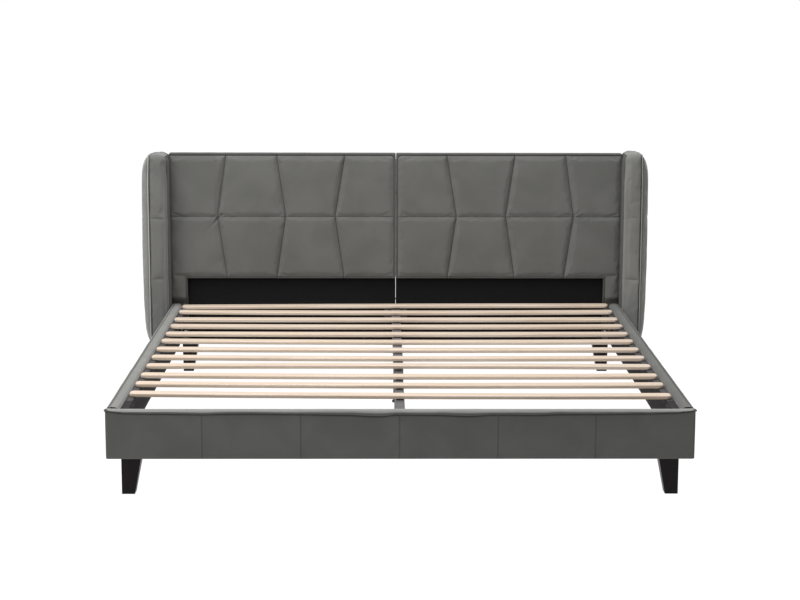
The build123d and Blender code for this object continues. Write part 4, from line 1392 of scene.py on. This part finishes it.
class BED_OT_stage(Operator):
    """Sets the floor, the room's light, the lamps and the camera"""

    bl_idname = "bed.stage"
    bl_label = "Stage"

    def execute(self, context):
        context.scene.view_settings.view_transform = "Standard"
        settings = context.scene.bed_stage
        self.make_world(context, settings.sky)
        self.make_floor()
        for name, place, size, power in LAMPS:
            self.make_lamp(context, name, place, size, getattr(settings, power))
        self.make_camera(context)
        return {"FINISHED"}

    def make_world(self, context, sky):
        """A white backdrop for the camera, gloss and glass, and a plain grey room for the light."""
        world = bpy.data.worlds.new("studio")
        context.scene.world = world
        world.use_nodes = True
        tree = world.node_tree
        tree.nodes.clear()
        room = add_node(tree, "ShaderNodeBackground", {"Color": WHITE, "Strength": sky})
        paper = add_node(tree, "ShaderNodeBackground", {"Color": WHITE, "Strength": 1.0})
        mix = add_node(tree, "ShaderNodeMixShader", {0: seen_rays(tree), 1: room, 2: paper})
        add_node(tree, "ShaderNodeOutputWorld", {"Surface": mix})

    def make_floor(self):
        """A pale floor that reads as white paper and keeps a trace of the bed's shadow."""
        floor = bmesh.new()
        bmesh.ops.create_grid(floor, x_segments=1, y_segments=1, size=30)
        bmesh.ops.translate(floor, vec=(0, 0, -0.2 * MM), verts=floor.verts)
        mesh = bpy.data.meshes.new("floor")
        floor.to_mesh(mesh)
        floor.free()
        material = bpy.data.materials.new("white_paper")
        material.use_nodes = True
        tree = material.node_tree
        shader = tree.nodes["Principled BSDF"]
        shader.inputs["Base Color"].default_value = FLOOR_COLOUR
        shader.inputs["Roughness"].default_value = 0.9
        glow = add_node(tree, "ShaderNodeEmission", {"Color": WHITE, "Strength": 1.12})
        # Leaves a seventh of the lit floor under the glow, which is where the shadow shows
        seen = add_node(tree, "ShaderNodeMath", {"operation": "MULTIPLY", 0: seen_rays(tree), 1: 0.86})
        mix = add_node(tree, "ShaderNodeMixShader", {0: seen, 1: shader, 2: glow})
        tree.links.new(mix.outputs["Shader"], tree.nodes["Material Output"].inputs["Surface"])
        mesh.materials.append(material)
        piece = bpy.data.objects.new("floor", mesh)
        bpy.context.scene.collection.objects.link(piece)

    def make_lamp(self, context, name, place, size, power):
        """A square soft lamp that looks at the bed."""
        lamp = bpy.data.lights.new(name, "AREA")
        lamp.energy = power
        lamp.size = size
        holder = bpy.data.objects.new(name, lamp)
        holder.location = place
        aim = Vector(LAMP_TARGET) - Vector(place)
        holder.rotation_euler = aim.to_track_quat("-Z", "Y").to_euler()
        context.scene.collection.objects.link(holder)

    def make_camera(self, context):
        """The photograph's camera, solved from the bed's edges."""
        ahead = Vector((
            math.sin(CAMERA_YAW) * math.cos(CAMERA_PITCH), math.cos(CAMERA_YAW) * math.cos(CAMERA_PITCH),
            -math.sin(CAMERA_PITCH),
        ))
        right = Vector((math.cos(CAMERA_YAW), -math.sin(CAMERA_YAW), 0))
        up = right.cross(ahead)
        rolled_right = right * math.cos(CAMERA_ROLL) + up * math.sin(CAMERA_ROLL)
        rolled_up = up * math.cos(CAMERA_ROLL) - right * math.sin(CAMERA_ROLL)
        data = bpy.data.cameras.new("camera")
        data.lens = CAMERA_LENS
        data.sensor_width = CAMERA_SENSOR
        data.sensor_fit = "HORIZONTAL"
        data.clip_end = 100
        camera = bpy.data.objects.new("camera", data)
        turn = Matrix((rolled_right, rolled_up, -ahead)).transposed().to_4x4()
        camera.matrix_world = Matrix.Translation(CAMERA_PLACE) @ turn
        context.scene.collection.objects.link(camera)
        context.scene.camera = camera


class BED_PT_panel(Panel):
    """Lists the bed's pieces and their settings"""

    bl_idname = "BED_PT_panel"
    bl_label = "Wingback Bed"
    bl_space_type = "VIEW_3D"
    bl_region_type = "UI"
    bl_category = "Bed"

    def draw(self, context):
        layout = self.layout
        for name in SETTINGS:
            group = getattr(context.scene, name)
            box = layout.box()
            for key in group.__annotations__:
                box.prop(group, key)
        for operator in OPERATORS:
            layout.operator(operator.bl_idname)


SETTINGS = {"bed_velvet": VelvetSettings, "bed_padding": PaddingSettings, "bed_stage": StageSettings}
OPERATORS = (
    BED_OT_stage, BED_OT_headboard, BED_OT_wings, BED_OT_foot_rail, BED_OT_side_rails, BED_OT_legs,
    BED_OT_slats, BED_OT_boards, BED_OT_metalwork,
)
CLASSES = (*SETTINGS.values(), *OPERATORS, BED_PT_panel)


def register():
    """Registers the settings, the operators and the panel."""
    for kind in CLASSES:
        bpy.utils.register_class(kind)
    for name, kind in SETTINGS.items():
        setattr(bpy.types.Scene, name, PointerProperty(type=kind))


def unregister():
    """Takes them away again."""
    for name in SETTINGS:
        delattr(bpy.types.Scene, name)
    for kind in reversed(CLASSES):
        bpy.utils.unregister_class(kind)


def main():
    """Makes the stage and every piece, in order."""
    register()
    bpy.ops.bed.stage()
    bpy.ops.bed.headboard()
    bpy.ops.bed.wings()
    bpy.ops.bed.foot_rail()
    bpy.ops.bed.side_rails()
    bpy.ops.bed.legs()
    bpy.ops.bed.slats()
    bpy.ops.bed.boards()
    bpy.ops.bed.metalwork()


if __name__ == "__main__":
    main()
